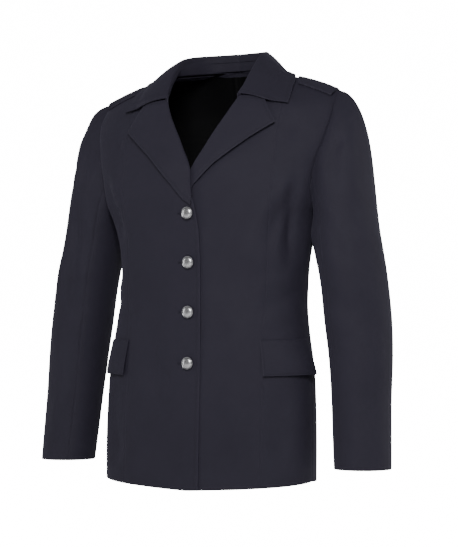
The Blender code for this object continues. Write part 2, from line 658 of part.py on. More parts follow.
def make_neck_inside(navy, satin):
    """What shows inside the neck: a facing that follows the back neckline and the lining that covers
    the back from there out to the armholes. Their columns fan out from the neckline, q from 0 at the
    centre back to 1 at the shoulder seam, and both lie evenly on the back's inner face."""
    knots = table_knots(BACK_LEVELS)
    nape, foot, head = knots[NAPE_LEVEL], knots[ARMHOLE_START], knots[-1] - SEAM_GAP
    q = np.linspace(-1.0, 1.0, 2 * NECK_COLUMNS + 1)
    part = np.abs(q)
    up_neck = nape + (head - nape) * part
    inner = np.stack([np.full_like(part, NECK_EDGE), up_neck - NECK_EDGE * LEVEL_LENGTH], axis=-1)
    edge = np.asarray(NECK_FACING_EDGE)
    edge = monotone_curve(edge[:, 0], edge[:, 1:], part)
    outer = np.stack([edge[:, 0], up_neck - edge[:, 1]], axis=-1)
    armhole = np.stack([LINING_REACH * np.minimum(2.0 * part, 1.0),
                        foot + (head - foot) * np.maximum(2.0 * part - 1.0, 0.0)], axis=-1)
    for name, finish, low, high, start, rows in (
            ("back_neck_facing", navy, inner, outer, 0.0, FACING_ROWS),
            ("back_lining", satin, outer, armhole, LINING_STEP / LEVEL_LENGTH, LINING_ROWS)):
        down = np.linspace(start, 1.0, rows)[:, None, None]
        across, along = np.moveaxis(low + (high - low) * down, -1, 0)
        across = across * np.where(q < 0.0, -1.0, 1.0)
        across[:, NECK_COLUMNS] = 0.0
        add_wall(name, back_inside(across, along, CLOTH + LINING_EASE),
                 back_inside(across, along, CLOTH + LINING_EASE + LINING), finish)


def make_straps(navy, cloud):
    """Shoulder straps: caught in the sleeve seam, laid along the shoulder, pointed near the collar."""
    rows, columns = STRAP_GRID
    across, part = np.meshgrid(np.linspace(-1.0, 1.0, columns), np.linspace(0.0, 1.0, rows))
    x = STRAP_OUTER_X - (STRAP_LENGTH - STRAP_WIDTH * STRAP_POINT * np.abs(across)) * part
    y = STRAP_CENTRE_Y + across * STRAP_WIDTH / 2
    neck_x, _, neck_z, tip_x, _, tip_z = FRONT_LEVELS[-1][:6]
    z = np.interp(x, (neck_x, tip_x), (neck_z, tip_z))
    grid = np.stack([x, y, z], axis=-1)
    inner = lay_on_body(grid, STRAP_CLEARANCE, cloud)
    outer = lay_on_body(grid, STRAP_CLEARANCE + STRAP_THICKNESS, cloud)
    for side, mirrored in (("left", False), ("right", True)):
        add_wall(side + "_shoulder_strap", outer, inner, navy, mirrored)


def make_buttons(silver):
    """Domed shank buttons: a turned profile that faces straight out of the front."""
    rim = BUTTON_SHANK_LENGTH + BUTTON_RIM / 2
    profile = ((BUTTON_SHANK_RADIUS, 0.0), (BUTTON_SHANK_RADIUS, BUTTON_SHANK_LENGTH),
               (BUTTON_RADIUS * 0.93, BUTTON_SHANK_LENGTH), (BUTTON_RADIUS, rim),
               (BUTTON_RADIUS * 0.96, BUTTON_SHANK_LENGTH + BUTTON_RIM),
               (BUTTON_RADIUS * 0.72, BUTTON_HEIGHT * 0.80), (BUTTON_RADIUS * 0.38, BUTTON_HEIGHT * 0.96))
    radius, height = np.array(profile).T[:, :, None]
    angle = np.linspace(0.0, 2 * np.pi, BUTTON_SIDES, endpoint=False)
    ring = np.arange(BUTTON_SIDES)
    after = np.roll(ring, -1)
    lower = np.arange(len(profile) - 1)[:, None] * BUTTON_SIDES
    upper = lower + BUTTON_SIDES
    band = np.stack([lower + ring, upper + ring, upper + after, lower + after], axis=-1).reshape(-1, 4)
    foot = len(profile) * BUTTON_SIDES
    crown = foot + 1
    last = upper[-1]
    faces = band.tolist()
    faces += np.stack([np.full_like(ring, foot), ring, after], axis=-1).tolist()
    faces += np.stack([last + ring, np.full_like(ring, crown), last + after], axis=-1).tolist()
    sideways = np.array([1.0, 0.0, 0.0])
    for name, z in BUTTON_HEIGHTS.items():
        s, t = find_on_body(FRONT_LEVELS, np.array([0.0, z]), (0, 2), (0.1, 0.5))
        seat = body_point(FRONT_LEVELS, s, t)
        normal = unit(body_normal(FRONT_LEVELS, s, t) * (0.0, 1.0, 1.0))
        base = seat * (0, 1, 1) + normal * (lap_out(seat) + SEAM_GAP)
        up = np.cross(sideways, normal)
        around = sideways * np.cos(angle)[:, None] + up * np.sin(angle)[:, None]
        rings = base + normal * height[..., None] + around * radius[..., None]
        ends = [base, base + normal * BUTTON_HEIGHT]
        add_object(name, np.concatenate([rings.reshape(-1, 3), ends]), faces, silver)


def main():
    clear_scene()
    navy = material("navy_wool", NAVY)
    satin = material("black_satin", BLACK_SATIN)
    silver = material("silver_button", SILVER)
    cloud = body_cloud()
    make_fronts(navy)
    make_backs(navy)
    make_sleeves(navy)
    make_lapels(navy)
    make_flaps(navy)
    make_collar(navy, cloud)
    make_neck_inside(navy, satin)
    make_straps(navy, cloud)
    make_buttons(silver)


main()
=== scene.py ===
"""Dress uniform jacket of dark navy wool, worn shape with nobody in it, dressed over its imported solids.

Metres, +Z up, the wearer faces -Y and the wearer's left arm is at +X. The origin is the middle of the
neck at the height where the shoulder seams meet the collar.
"""

import bpy
import numpy as np
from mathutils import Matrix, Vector


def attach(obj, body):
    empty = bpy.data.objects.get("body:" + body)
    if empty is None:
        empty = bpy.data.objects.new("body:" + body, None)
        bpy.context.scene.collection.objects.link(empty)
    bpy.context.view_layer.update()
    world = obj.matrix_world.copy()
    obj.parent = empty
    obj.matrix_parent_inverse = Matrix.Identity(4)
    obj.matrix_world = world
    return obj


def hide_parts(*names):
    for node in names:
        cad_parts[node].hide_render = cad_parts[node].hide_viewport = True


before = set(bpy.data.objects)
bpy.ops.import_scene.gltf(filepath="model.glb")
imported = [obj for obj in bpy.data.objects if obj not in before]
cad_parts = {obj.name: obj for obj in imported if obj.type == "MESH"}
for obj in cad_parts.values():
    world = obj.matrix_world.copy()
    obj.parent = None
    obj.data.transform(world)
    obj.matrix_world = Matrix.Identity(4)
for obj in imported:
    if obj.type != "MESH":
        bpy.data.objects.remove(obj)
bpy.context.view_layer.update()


# Fronts: the cloth. Worsted wool in a fine twill, dyed navy, pressed, with a short nap. Two centre
# fronts and two side fronts are cut from it, joined by princess seams from shoulder to hem, with a
# folded front edge and a turned-up hem; inside, a facing runs down the edge and satin lines the rest.
CLOTH = 0.0020
SEAM_GAP = 0.0003
SEAM_OVERLAP = 0.00010
LAP_CLEARANCE = 0.0004
OVERLAP = 0.022
LAP_FADE = 0.060
NAVY = (0.0262, 0.0228, 0.0400)
# Darker navy: mixed in as painted shade in the weave's valleys, and as random tone of the cloth with the
# nap's clouds and fibres.
NAVY_SHADE = (0.0176, 0.0152, 0.0272)
SATIN = (0.0024, 0.0024, 0.0032)
TWILL_PITCH = 0.0011
HEM_TURN_UP = 0.038
FACING_WIDTH = 0.075
SOFT_EDGE = (0.00042, 0.0012)
PRESSED_EDGE = (0.0006, 0.0014)
UNLINED = 0.9

LEVEL_COLUMNS = ("x_in", "y_in", "z_in", "x_out", "y_out", "z_out", "round", "seam_x", "edge_x")
FRONT_LEVELS = (
    # x_in, y_in, z_in, x_out, y_out, z_out, round, seam_x, edge_x
    (0.000, -0.118, -0.694, 0.1870, -0.040, -0.678, 1.45, 0.124, 0.021),
    (0.000, -0.115, -0.610, 0.1865, -0.040, -0.600, 1.45, 0.124, 0.021),
    (0.000, -0.111, -0.510, 0.1840, -0.037, -0.505, 1.45, 0.123, 0.021),
    (0.000, -0.110, -0.445, 0.1745, -0.033, -0.442, 1.40, 0.123, 0.021),
    (0.000, -0.109, -0.385, 0.1685, -0.023, -0.385, 1.36, 0.126, 0.021),
    (0.000, -0.109, -0.310, 0.1705, -0.018, -0.310, 1.36, 0.128, 0.020),
    (0.000, -0.109, -0.250, 0.1840, -0.014, -0.250, 1.38, 0.132, 0.016),
    (0.000, -0.108, -0.222, 0.1885, -0.041, -0.232, 1.25, 0.135, 0.007),
    (0.000, -0.105, -0.185, 0.1916, -0.051, -0.200, 1.08, 0.137, 0.000),
    (0.025, -0.092, -0.130, 0.1996, -0.052, -0.160, 0.85, 0.139, 0.000),
    (0.057, -0.073, -0.075, 0.2094, -0.043, -0.125, 0.65, 0.138, 0.000),
    (0.071, -0.055, -0.045, 0.2170, -0.026, -0.082, 0.55, 0.139, 0.000),
    (0.080, -0.004, 0.000, 0.2150, 0.004, -0.042, 0.30, 0.145, 0.000),
)
BACK_LEVELS = (
    # x_in, y_in, z_in, x_out, y_out, z_out, round
    (0.000, 0.076, -0.686, 0.1870, -0.040, -0.678, 1.25),
    (0.000, 0.078, -0.600, 0.1865, -0.040, -0.600, 1.25),
    (0.000, 0.071, -0.505, 0.1840, -0.037, -0.505, 1.25),
    (0.000, 0.062, -0.442, 0.1745, -0.033, -0.442, 1.25),
    (0.000, 0.055, -0.385, 0.1685, -0.023, -0.385, 1.25),
    (0.000, 0.068, -0.310, 0.1705, -0.018, -0.310, 1.25),
    (0.000, 0.082, -0.250, 0.1840, -0.014, -0.250, 1.25),
    (0.000, 0.088, -0.215, 0.1880, 0.024, -0.232, 1.15),
    (0.000, 0.095, -0.165, 0.1930, 0.040, -0.190, 1.10),
    (0.000, 0.098, -0.120, 0.1990, 0.046, -0.145, 1.05),
    (0.000, 0.096, -0.060, 0.2090, 0.038, -0.095, 1.00),
    (0.000, 0.079, 0.014, 0.2160, 0.020, -0.057, 1.00),
    (0.023, 0.076, 0.014, 0.2163, 0.015, -0.052, 0.80),
    (0.046, 0.065, 0.012, 0.2165, 0.010, -0.047, 0.60),
    (0.080, -0.004, 0.000, 0.2150, 0.004, -0.042, 0.30),
)
ARMHOLE_START = 6
BREAK_LEVEL = 7
NAPE_LEVEL = 11
SHOULDER_UP = (0.316, 0.0, 0.949)
SEAM_BLEND = 0.035
LEVEL_LENGTH = 0.20
FRONT_ROWS = 150
FRONT_COLUMNS = 44
SIDE_COLUMNS = 34
PANEL_END = 0.0016


def smoothstep(low, high, value):
    """0 below low, 1 above high, 3p2 - 2p3 of the part p between."""
    part = np.clip((value - low) / (high - low), 0.0, 1.0)
    return part * part * (3.0 - 2.0 * part)


def unit(vector):
    """Each vector divided by its length."""
    return vector / np.maximum(np.linalg.norm(vector, axis=-1, keepdims=True), 1e-12)


def monotone_curve(knots, values, at, corner=0):
    """Cubic through a table's rows whose slope at a row is the harmonic mean of its neighbours' or,
    where they turn, zero; at a corner row it is the slope from below."""
    values = np.asarray(values, float)
    step = np.diff(knots)[:, None]
    rise = np.diff(values, axis=0) / step
    slope = np.zeros_like(values)
    same_way = rise[1:] * rise[:-1] > 0.0
    safe = np.where(same_way, rise[1:] + rise[:-1], 1.0)
    slope[1:-1] = np.where(same_way, 2.0 * rise[1:] * rise[:-1] / safe, 0.0)
    slope[0] = rise[0]
    slope[-1] = rise[-1]
    if corner:
        slope[corner] = rise[corner - 1]
    low = np.clip(np.searchsorted(knots, at, side="right") - 1, 0, len(knots) - 2)
    span = (knots[low + 1] - knots[low])[:, None]
    part = ((at - knots[low])[:, None]) / span
    part2 = part * part
    part3 = part2 * part
    return ((2 * part3 - 3 * part2 + 1) * values[low] + (part3 - 2 * part2 + part) * span * slope[low]
            + (3 * part2 - 2 * part3) * values[low + 1] + (part3 - part2) * span * slope[low + 1])


def table_knots(table):
    """Places of a table's rows up the panel: side seam lengths added up, then armhole and neck means."""
    rows = np.asarray(table, float)
    inner = np.linalg.norm(np.diff(rows[:, 0:3], axis=0), axis=1)
    outer = np.linalg.norm(np.diff(rows[:, 3:6], axis=0), axis=1)
    inner[:ARMHOLE_START] = outer[:ARMHOLE_START]
    return np.concatenate([[0.0], np.cumsum((inner + outer) / 2)])


def body_point(table, across, along):
    """Point of the body: each level is a cubic Bezier from the centre to the side seam or armhole,
    with handles that lengthen as it gets rounder, and the levels follow the table upwards."""
    knots = table_knots(table)
    level = monotone_curve(knots, table, np.ravel(along), ARMHOLE_START)
    if table is BACK_LEVELS:
        neckline = np.asarray(table)[NAPE_LEVEL:, 0:3]
        neckline = monotone_curve(knots[NAPE_LEVEL:], neckline, np.ravel(along))
        above = np.ravel(along)[:, None] > knots[NAPE_LEVEL]
        level[:, 0:3] = np.where(above, neckline, level[:, 0:3])
    start = level[:, 0:3]
    end = level[:, 3:6]
    reach = end - start
    bulge = level[:, 6:7]
    long = 1 / 3 + 0.219 * bulge
    short = np.maximum(0.0, (1.0 - bulge) / 3)
    third = np.full_like(long, 1 / 3)
    first = start + reach * np.concatenate([long, short, third], axis=1)
    second = end - reach * np.concatenate([short, long, third], axis=1)
    s = np.abs(np.ravel(across))[:, None]
    r = 1.0 - s
    point = r ** 3 * start + 3 * r * r * s * first + 3 * r * s * s * second + s ** 3 * end
    point[:, 0] = np.where(np.ravel(across) < 0.0, 2 * start[:, 0] - point[:, 0], point[:, 0])
    return point.reshape(np.shape(across) + (3,))


def body_normal(table, across, along):
    """Outward normal of the body, the cross product of small steps across and along, evened out
    towards the shoulder, side and centre seams so that the pieces meet there."""
    e = 1e-4
    knots = table_knots(table)
    lower = np.clip(across - e, -1, 1)
    upper = np.clip(across + e, -1, 1)
    below = np.clip(along - e, 0, knots[-1])
    above = np.clip(along + e, 0, knots[-1])
    d_across = body_point(table, upper, along) - body_point(table, lower, along)
    d_along = body_point(table, across, above) - body_point(table, across, below)
    turned = -1.0 if table is BACK_LEVELS else 1.0
    normal = unit(np.cross(d_across, d_along)) * turned
    near_shoulder = smoothstep(knots[-1] - SEAM_BLEND, knots[-1], along)[..., None]
    below_armhole = 1.0 - smoothstep(knots[ARMHOLE_START], knots[ARMHOLE_START] + SEAM_BLEND, along)
    near_side = (smoothstep(0.75, 1.0, np.abs(across)) * below_armhole)[..., None]
    top = knots[NAPE_LEVEL] if table is BACK_LEVELS else knots[BREAK_LEVEL]
    near_centre = 1.0 - smoothstep(0.0, 0.2, np.abs(across))
    near_centre = near_centre * (1.0 - smoothstep(top, top + SEAM_BLEND, along))
    outward = np.sign(across + 1e-9)[..., None]
    normal = unit(normal + near_shoulder * (np.array(SHOULDER_UP) - normal))
    normal = unit(normal + near_side * (outward * np.array([1.0, 0.0, 0.0]) - normal))
    flat = np.stack([1.0 - near_centre, np.ones_like(near_centre), np.ones_like(near_centre)], axis=-1)
    return unit(normal * flat)


def front_across(along, column):
    """Across value at which each front level reaches the x named by a column of its table."""
    dense = np.linspace(0.0, 1.0, 161)
    wanted = monotone_curve(table_knots(FRONT_LEVELS), FRONT_LEVELS, along)
    wanted = wanted[:, LEVEL_COLUMNS.index(column)]
    x = body_point(FRONT_LEVELS, np.tile(dense, (len(along), 1)), np.tile(along[:, None], (1, len(dense))))
    return np.array([np.interp(target, line[:, 0], dense, left=0.0) for line, target in zip(x, wanted)])


def lap_out(points):
    """How far the wearer's right front stands out to lie on the left front and the left lapel's foot:
    a flat step at the edge that fades towards the side."""
    over_lapel = smoothstep(-0.29, -0.235, points[..., 2]) * (1.0 - smoothstep(-0.17, -0.13, points[..., 2]))
    weight = 1.0 - smoothstep(OVERLAP, OVERLAP + LAP_FADE, points[..., 0])
    return weight * (1.0 + 1.3 * over_lapel) * (CLOTH + LAP_CLEARANCE)


def close_to_edges(count, first=0.0012, last=0.0012):
    """Numbers from 0 to 1 with two extra ones near each end, so that a pressed edge can be round."""
    middle = np.linspace(0.0, 1.0, count - 4)[1:-1]
    return np.concatenate([[0.0, first, first * 3.2], middle, [1 - last * 3.2, 1 - last, 1.0]])


def creases(points, table):
    """Sum of soft folds. Across each fold the height is a bell curve of its width, along it the
    height swells and fades twice unevenly, and its line wanders by a third of its width."""
    total = np.zeros(points.shape[:-1])
    for x1, y1, z1, x2, y2, z2, width, height in table:
        start = np.array([x1, y1, z1])
        line = np.array([x2, y2, z2]) - start
        length = np.linalg.norm(line)
        way = line / length
        side = unit(np.cross(way, (0.35, -0.90, 0.20)))
        part = (points - start) @ way / length
        wander = width * (0.30 * np.sin(part * 5.3 + x1 * 71.0) + 0.12 * np.sin(part * 12.7 + z1 * 37.0))
        off = points - start - part[..., None] * line - side * wander[..., None]
        bell = np.exp(-((off ** 2).sum(axis=-1)) / width ** 2)
        swell = smoothstep(-0.08, 0.30, part) * (1.0 - smoothstep(0.62, 1.08, part))
        total += height * bell * swell * (1.0 + 0.28 * np.sin(part * 7.9 + x2 * 53.0))
    return total


def drape(points):
    """Slow unevenness of hanging cloth: a few long waves, each under half a millimetre high."""
    x, y, z = points[..., 0], points[..., 1], points[..., 2]
    return 0.00032 * (np.sin(x * 41.0 + z * 13.0 + 1.3) + np.sin(y * 37.0 - z * 21.0 + x * 15.0)
                      + 0.7 * np.sin(z * 33.0 + y * 19.0 + 4.0))


def arc_lengths(grid):
    """Distances along the rows and along the columns of a grid of points, added up from zero."""
    sideways = np.linalg.norm(np.diff(grid, axis=1), axis=-1).cumsum(axis=1)
    upward = np.linalg.norm(np.diff(grid, axis=0), axis=-1).cumsum(axis=0)
    return np.pad(sideways, ((0, 0), (1, 0))), np.pad(upward, ((1, 0), (0, 0)))


def edge_distances(grid):
    """Distance of each point of a grid from its low, high, first and last edges."""
    sideways, upward = arc_lengths(grid)
    return {"low": upward, "high": upward[-1:] - upward,
            "first": sideways, "last": sideways[:, -1:] - sideways}


def rolled(grid, edges, depth=SOFT_EDGE[0], width=SOFT_EDGE[1]):
    """Drop of the outer face towards the named edges, depth times e to the minus distance by width."""
    distance = edge_distances(grid)
    return sum((depth * np.exp(-distance[edge] / width) for edge in edges), np.zeros(grid.shape[:2]))


def cloth_cut(grid):
    """Flat width and length of a sheet, its longest row and column, and its area, the product of their
    mean lengths."""
    sideways, upward = arc_lengths(grid)
    return (float(sideways.max()), float(upward.max())), float(sideways[:, -1].mean() * upward[-1].mean())


def mesh_piece(name, points, faces, finishes, slots, cloth_uv, edge_uv, node_names):
    """A piece's mesh from points and quads, with two UV maps in metres given point by point: how the
    cloth lies, and the distance from and along the stitched edge."""
    mesh = bpy.data.meshes.new(name)
    mesh.from_pydata(np.asarray(points, float).reshape(-1, 3).tolist(), [], faces)
    for finish in finishes:
        mesh.materials.append(finish)
    mesh.polygons.foreach_set("material_index", np.asarray(slots, dtype=np.int32))
    corner = np.empty(len(mesh.loops), dtype=np.int32)
    mesh.loops.foreach_get("vertex_index", corner)
    for layer, values in (("cloth", cloth_uv), ("edge", edge_uv)):
        uv = mesh.uv_layers.new(name=layer)
        uv.data.foreach_set("uv", np.asarray(values, dtype=np.float32)[corner].ravel())
    mesh.shade_smooth()
    mesh.set_sharp_from_angle(angle=np.radians(48))
    mesh.update()
    piece = bpy.data.objects.new(name, mesh)
    bpy.context.scene.collection.objects.link(piece)
    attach(piece, "root")
    if node_names:
        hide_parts(*node_names)
    return piece


def shell(node, outer, inner, finishes, stitched=(), lined=None, mirrored=False):
    """Closed wall between two grids of points, which takes the place of a solid. Rows go up and
    columns go to the wearer's left on a front, so that the outer faces look out. The first finish
    covers the outside, the second the inner faces that the lined mask picks. Stitched names the
    edges that have a row of stitches."""
    rows, columns = outer.shape[:2]
    count = rows * columns
    grid = np.arange(count).reshape(rows, columns)
    a, b, c, d = grid[:-1, :-1], grid[:-1, 1:], grid[1:, 1:], grid[1:, :-1]
    face = np.stack([a, b, c, d], axis=-1).reshape(-1, 4)
    loop = np.concatenate([grid[0, :], grid[1:, -1], grid[-1, -2::-1], grid[-2:0:-1, 0]])
    after = np.roll(loop, -1)
    rim = np.stack([loop, loop + count, after + count, after], axis=-1)
    faces = np.concatenate([face, face[:, ::-1] + count, rim])
    points = np.concatenate([outer.reshape(-1, 3), inner.reshape(-1, 3)])
    if mirrored:
        points = points * (-1, 1, 1)
        faces = faces[:, ::-1]
    sideways, upward = arc_lengths(outer)
    cloth_uv = np.stack([sideways, upward], axis=-1).reshape(-1, 2)
    distance = edge_distances(outer)
    away = np.full(outer.shape[:2], 1.0)
    run = upward.copy()
    for edge in stitched:
        nearer = distance[edge] < away
        away = np.where(nearer, distance[edge], away)
        run = np.where(nearer, sideways if edge in ("low", "high") else upward, run)
    edge_uv = np.stack([away, run], axis=-1).reshape(-1, 2)
    if lined is None:
        lined = np.zeros((rows - 1, columns - 1), dtype=bool)
    slots = np.concatenate([np.zeros(len(face)), lined.ravel().astype(float), np.zeros(len(rim))])
    return mesh_piece(node + "_cloth", points, faces.tolist(), finishes, slots,
                      np.tile(cloth_uv, (2, 1)), np.tile(edge_uv, (2, 1)), (node,))


def node_group(name, inputs, outputs):
    """Empty shader node group with float or colour sockets, its tree and its two end nodes."""
    tree = bpy.data.node_groups.new(name, "ShaderNodeTree")
    for label, kind, default in inputs:
        socket = tree.interface.new_socket(label, in_out="INPUT", socket_type=kind)
        if default is not None:
            socket.default_value = default
    for label, kind in outputs:
        tree.interface.new_socket(label, in_out="OUTPUT", socket_type=kind)
    return tree, tree.nodes.new("NodeGroupInput"), tree.nodes.new("NodeGroupOutput")


def math(tree, operation, *values):
    """Math node of one operation on numbers or sockets; returns its output."""
    node = tree.nodes.new("ShaderNodeMath")
    node.operation = operation
    for socket, value in zip(node.inputs, values):
        if isinstance(value, (int, float)):
            socket.default_value = value
        else:
            tree.links.new(value, socket)
    return node.outputs[0]


def near(tree, distance, width):
    """One minus distance by width, at least zero: 1 on a line and 0 at a width from it."""
    return math(tree, "SUBTRACT", 1.0, math(tree, "MINIMUM", math(tree, "DIVIDE", distance, width), 1.0))


def mix_colour(tree, share, low, high):
    """Mix node between two colours or sockets; returns its output."""
    node = tree.nodes.new("ShaderNodeMix")
    node.data_type = "RGBA"
    tree.links.new(share, node.inputs["Factor"])
    for socket, value in ((node.inputs[6], low), (node.inputs[7], high)):
        if isinstance(value, tuple):
            socket.default_value = (*value, 1.0)
        else:
            tree.links.new(value, socket)
    return node.outputs[2]


FLOAT = "NodeSocketFloat"
VECTOR = "NodeSocketVector"

# Twill: fine diagonal wales, a sine of the sum of the two cloth coordinates, crossed by the threads.
twill, start, end = node_group("twill_weave", [("Place", VECTOR, None), ("Pitch", FLOAT, TWILL_PITCH)],
                               [("Height", FLOAT), ("Valley", FLOAT)])
axes = twill.nodes.new("ShaderNodeSeparateXYZ")
twill.links.new(start.outputs["Place"], axes.inputs[0])
turns = math(twill, "DIVIDE", 2 * np.pi, start.outputs["Pitch"])
wale_at = math(twill, "MULTIPLY", math(twill, "ADD", math(twill, "MULTIPLY", axes.outputs[0], 1.15),
                                       axes.outputs[1]), turns)
wale = math(twill, "SINE", wale_at)
thread_at = math(twill, "MULTIPLY", math(twill, "SUBTRACT", axes.outputs[1],
                                         math(twill, "MULTIPLY", axes.outputs[0], 0.35)), turns)
thread = math(twill, "SINE", math(twill, "MULTIPLY", thread_at, 1.7))
height = math(twill, "ADD", math(twill, "MULTIPLY", wale, 0.36), math(twill, "MULTIPLY", thread, 0.14))
height = math(twill, "ADD", height, 0.5)
twill.links.new(height, end.inputs["Height"])
twill.links.new(math(twill, "SUBTRACT", 1.0, height), end.inputs["Valley"])

# Nap: worn and brushed unevenness, soft clouds a few centimetres wide and fine fibre specks.
nap, start, end = node_group("wool_nap", [("Place", VECTOR, None)], [("Cloud", FLOAT), ("Fibre", FLOAT)])
for label, scale, detail in (("Cloud", 14.0, 3.0), ("Fibre", 900.0, 2.0)):
    noise = nap.nodes.new("ShaderNodeTexNoise")
    noise.inputs["Scale"].default_value = scale
    noise.inputs["Detail"].default_value = detail
    nap.links.new(start.outputs["Place"], noise.inputs["Vector"])
    nap.links.new(noise.outputs["Fac"], end.inputs[label])

# Stitch row: short tight stitches along an edge, set in from it, with the cloth dented round them. The dent's
# mask gives the bump its dent and the cloth's colour a painted shade.
row, start, end = node_group("stitch_row",
                             [("Place", VECTOR, None), ("Inset", FLOAT, 0.006), ("Pitch", FLOAT, 0.0026)],
                             [("Stitch", FLOAT), ("Dent", FLOAT), ("Press", FLOAT)])
axes = row.nodes.new("ShaderNodeSeparateXYZ")
row.links.new(start.outputs["Place"], axes.inputs[0])
off = math(row, "ABSOLUTE", math(row, "SUBTRACT", axes.outputs[0], start.outputs["Inset"]))
line = near(row, off, 0.0006)
dent = near(row, off, 0.0020)
step = math(row, "SINE", math(row, "MULTIPLY", math(row, "DIVIDE", axes.outputs[1], start.outputs["Pitch"]),
                              2 * np.pi))
dash = math(row, "GREATER_THAN", step, -0.45)
row.links.new(math(row, "MULTIPLY", line, dash), end.inputs["Stitch"])
row.links.new(dent, end.inputs["Dent"])
row.links.new(near(row, axes.outputs[0], 0.0025), end.inputs["Press"])


def place_group(tree, group, place):
    """A group node fed with a place socket."""
    node = tree.nodes.new("ShaderNodeGroup")
    node.node_tree = group
    tree.links.new(place, node.inputs["Place"])
    return node


def cloth_finish(name, colour, shade, roughness, sheen, sheen_tint, pitch, relief, shine=0.34):
    """Woven cloth: twill on the cloth map, nap on object coordinates, stitch rows on the edge map."""
    finish = bpy.data.materials.new(name)
    finish.use_nodes = True
    tree = finish.node_tree
    shader = tree.nodes["Principled BSDF"]
    shader.inputs["Sheen Weight"].default_value = sheen
    shader.inputs["Sheen Roughness"].default_value = 0.42
    shader.inputs["Sheen Tint"].default_value = (*sheen_tint, 1.0)
    shader.inputs["Specular IOR Level"].default_value = shine
    cloth_map = tree.nodes.new("ShaderNodeUVMap")
    cloth_map.uv_map = "cloth"
    edge_map = tree.nodes.new("ShaderNodeUVMap")
    edge_map.uv_map = "edge"
    place = tree.nodes.new("ShaderNodeTexCoord").outputs["Object"]
    weave = place_group(tree, twill, cloth_map.outputs[0])
    weave.inputs["Pitch"].default_value = pitch
    brushed = place_group(tree, nap, place)
    stitches = place_group(tree, row, edge_map.outputs[0])
    # The colour goes towards the darker shade in the weave's valleys, which is painted shade, and with the
    # nap's clouds and fibres, which is random tone.
    share = math(tree, "ADD", math(tree, "MULTIPLY", weave.outputs["Valley"], 0.45),
                 math(tree, "MULTIPLY", brushed.outputs["Fibre"], 0.35))
    cloud = math(tree, "SUBTRACT", brushed.outputs["Cloud"], 0.5)
    share = math(tree, "ADD", share, math(tree, "MULTIPLY", cloud, 0.5))
    woven = mix_colour(tree, share, colour, shade)
    # Painted shade: the colour is darkened in the dent round each row of stitches.
    dent_shade = math(tree, "MULTIPLY", stitches.outputs["Dent"], 0.30)
    dent_shaded = mix_colour(tree, dent_shade, woven, tuple(0.45 * value for value in shade))
    thread = tuple(1.35 * value for value in colour)
    # Within 2.5 mm of a stitched edge the colour is lightened a little towards the thread's colour.
    pressed = mix_colour(tree, math(tree, "MULTIPLY", stitches.outputs["Press"], 0.25), dent_shaded, thread)
    sewn = mix_colour(tree, math(tree, "MULTIPLY", stitches.outputs["Stitch"], 0.55), pressed, thread)
    tree.links.new(sewn, shader.inputs["Base Color"])
    rough = math(tree, "ADD", roughness - 0.06, math(tree, "MULTIPLY", brushed.outputs["Cloud"], 0.12))
    rough = math(tree, "SUBTRACT", rough, math(tree, "MULTIPLY", stitches.outputs["Press"], 0.08))
    tree.links.new(rough, shader.inputs["Roughness"])
    relief_height = math(tree, "ADD", math(tree, "MULTIPLY", weave.outputs["Height"], 1.0),
                         math(tree, "MULTIPLY", brushed.outputs["Fibre"], 0.5))
    dents = math(tree, "MULTIPLY", stitches.outputs["Dent"], 2.4)
    relief_height = math(tree, "SUBTRACT", relief_height, dents)
    raised = math(tree, "MULTIPLY", stitches.outputs["Stitch"], 3.0)
    relief_height = math(tree, "ADD", relief_height, raised)
    bump = tree.nodes.new("ShaderNodeBump")
    bump.inputs["Strength"].default_value = relief
    bump.inputs["Distance"].default_value = 0.00022
    tree.links.new(relief_height, bump.inputs["Height"])
    tree.links.new(bump.outputs["Normal"], shader.inputs["Normal"])
    return finish


navy_wool = cloth_finish("navy_wool", NAVY, NAVY_SHADE, 0.74, 0.10, (0.55, 0.53, 0.75), TWILL_PITCH, 0.55)
black_satin = cloth_finish("black_satin", SATIN, tuple(0.6 * v for v in SATIN), 0.55, 0.0,
                           (0.8, 0.8, 0.9), TWILL_PITCH * 0.6, 0.25, 0.12)

# Folds of the fronts, on the wearer's left: from the bust to the waist, at the waist, from the flap
# down and by the armhole. A negative height is a trough. The right front has folds of its own.
LEFT_FRONT_FOLDS = (
    # x1, y1, z1, x2, y2, z2, width, height
    (0.176, -0.060, -0.190, 0.128, -0.100, -0.315, 0.0110, -0.0046),
    (0.162, -0.068, -0.175, 0.105, -0.104, -0.300, 0.0130, 0.0034),
    (0.182, -0.030, -0.250, 0.174, -0.030, -0.350, 0.0200, 0.0052),
    (0.172, -0.064, -0.165, 0.158, -0.066, -0.345, 0.0085, -0.0060),
    (0.158, -0.078, -0.180, 0.146, -0.080, -0.350, 0.0090, 0.0034),
    (0.168, -0.040, -0.345, 0.100, -0.101, -0.372, 0.0100, 0.0027),
    (0.170, -0.036, -0.372, 0.112, -0.098, -0.402, 0.0090, -0.0031),
    (0.166, -0.040, -0.405, 0.118, -0.095, -0.428, 0.0110, 0.0025),
    (0.060, -0.107, -0.300, 0.052, -0.109, -0.520, 0.0240, -0.0029),
    (0.090, -0.106, -0.520, 0.082, -0.110, -0.690, 0.0220, 0.0029),
    (0.150, -0.085, -0.530, 0.158, -0.085, -0.685, 0.0180, -0.0034),
    (0.128, -0.078, -0.070, 0.178, -0.060, -0.130, 0.0140, -0.0029),
    (0.120, -0.065, -0.040, 0.190, -0.045, -0.090, 0.0140, 0.0021),
)
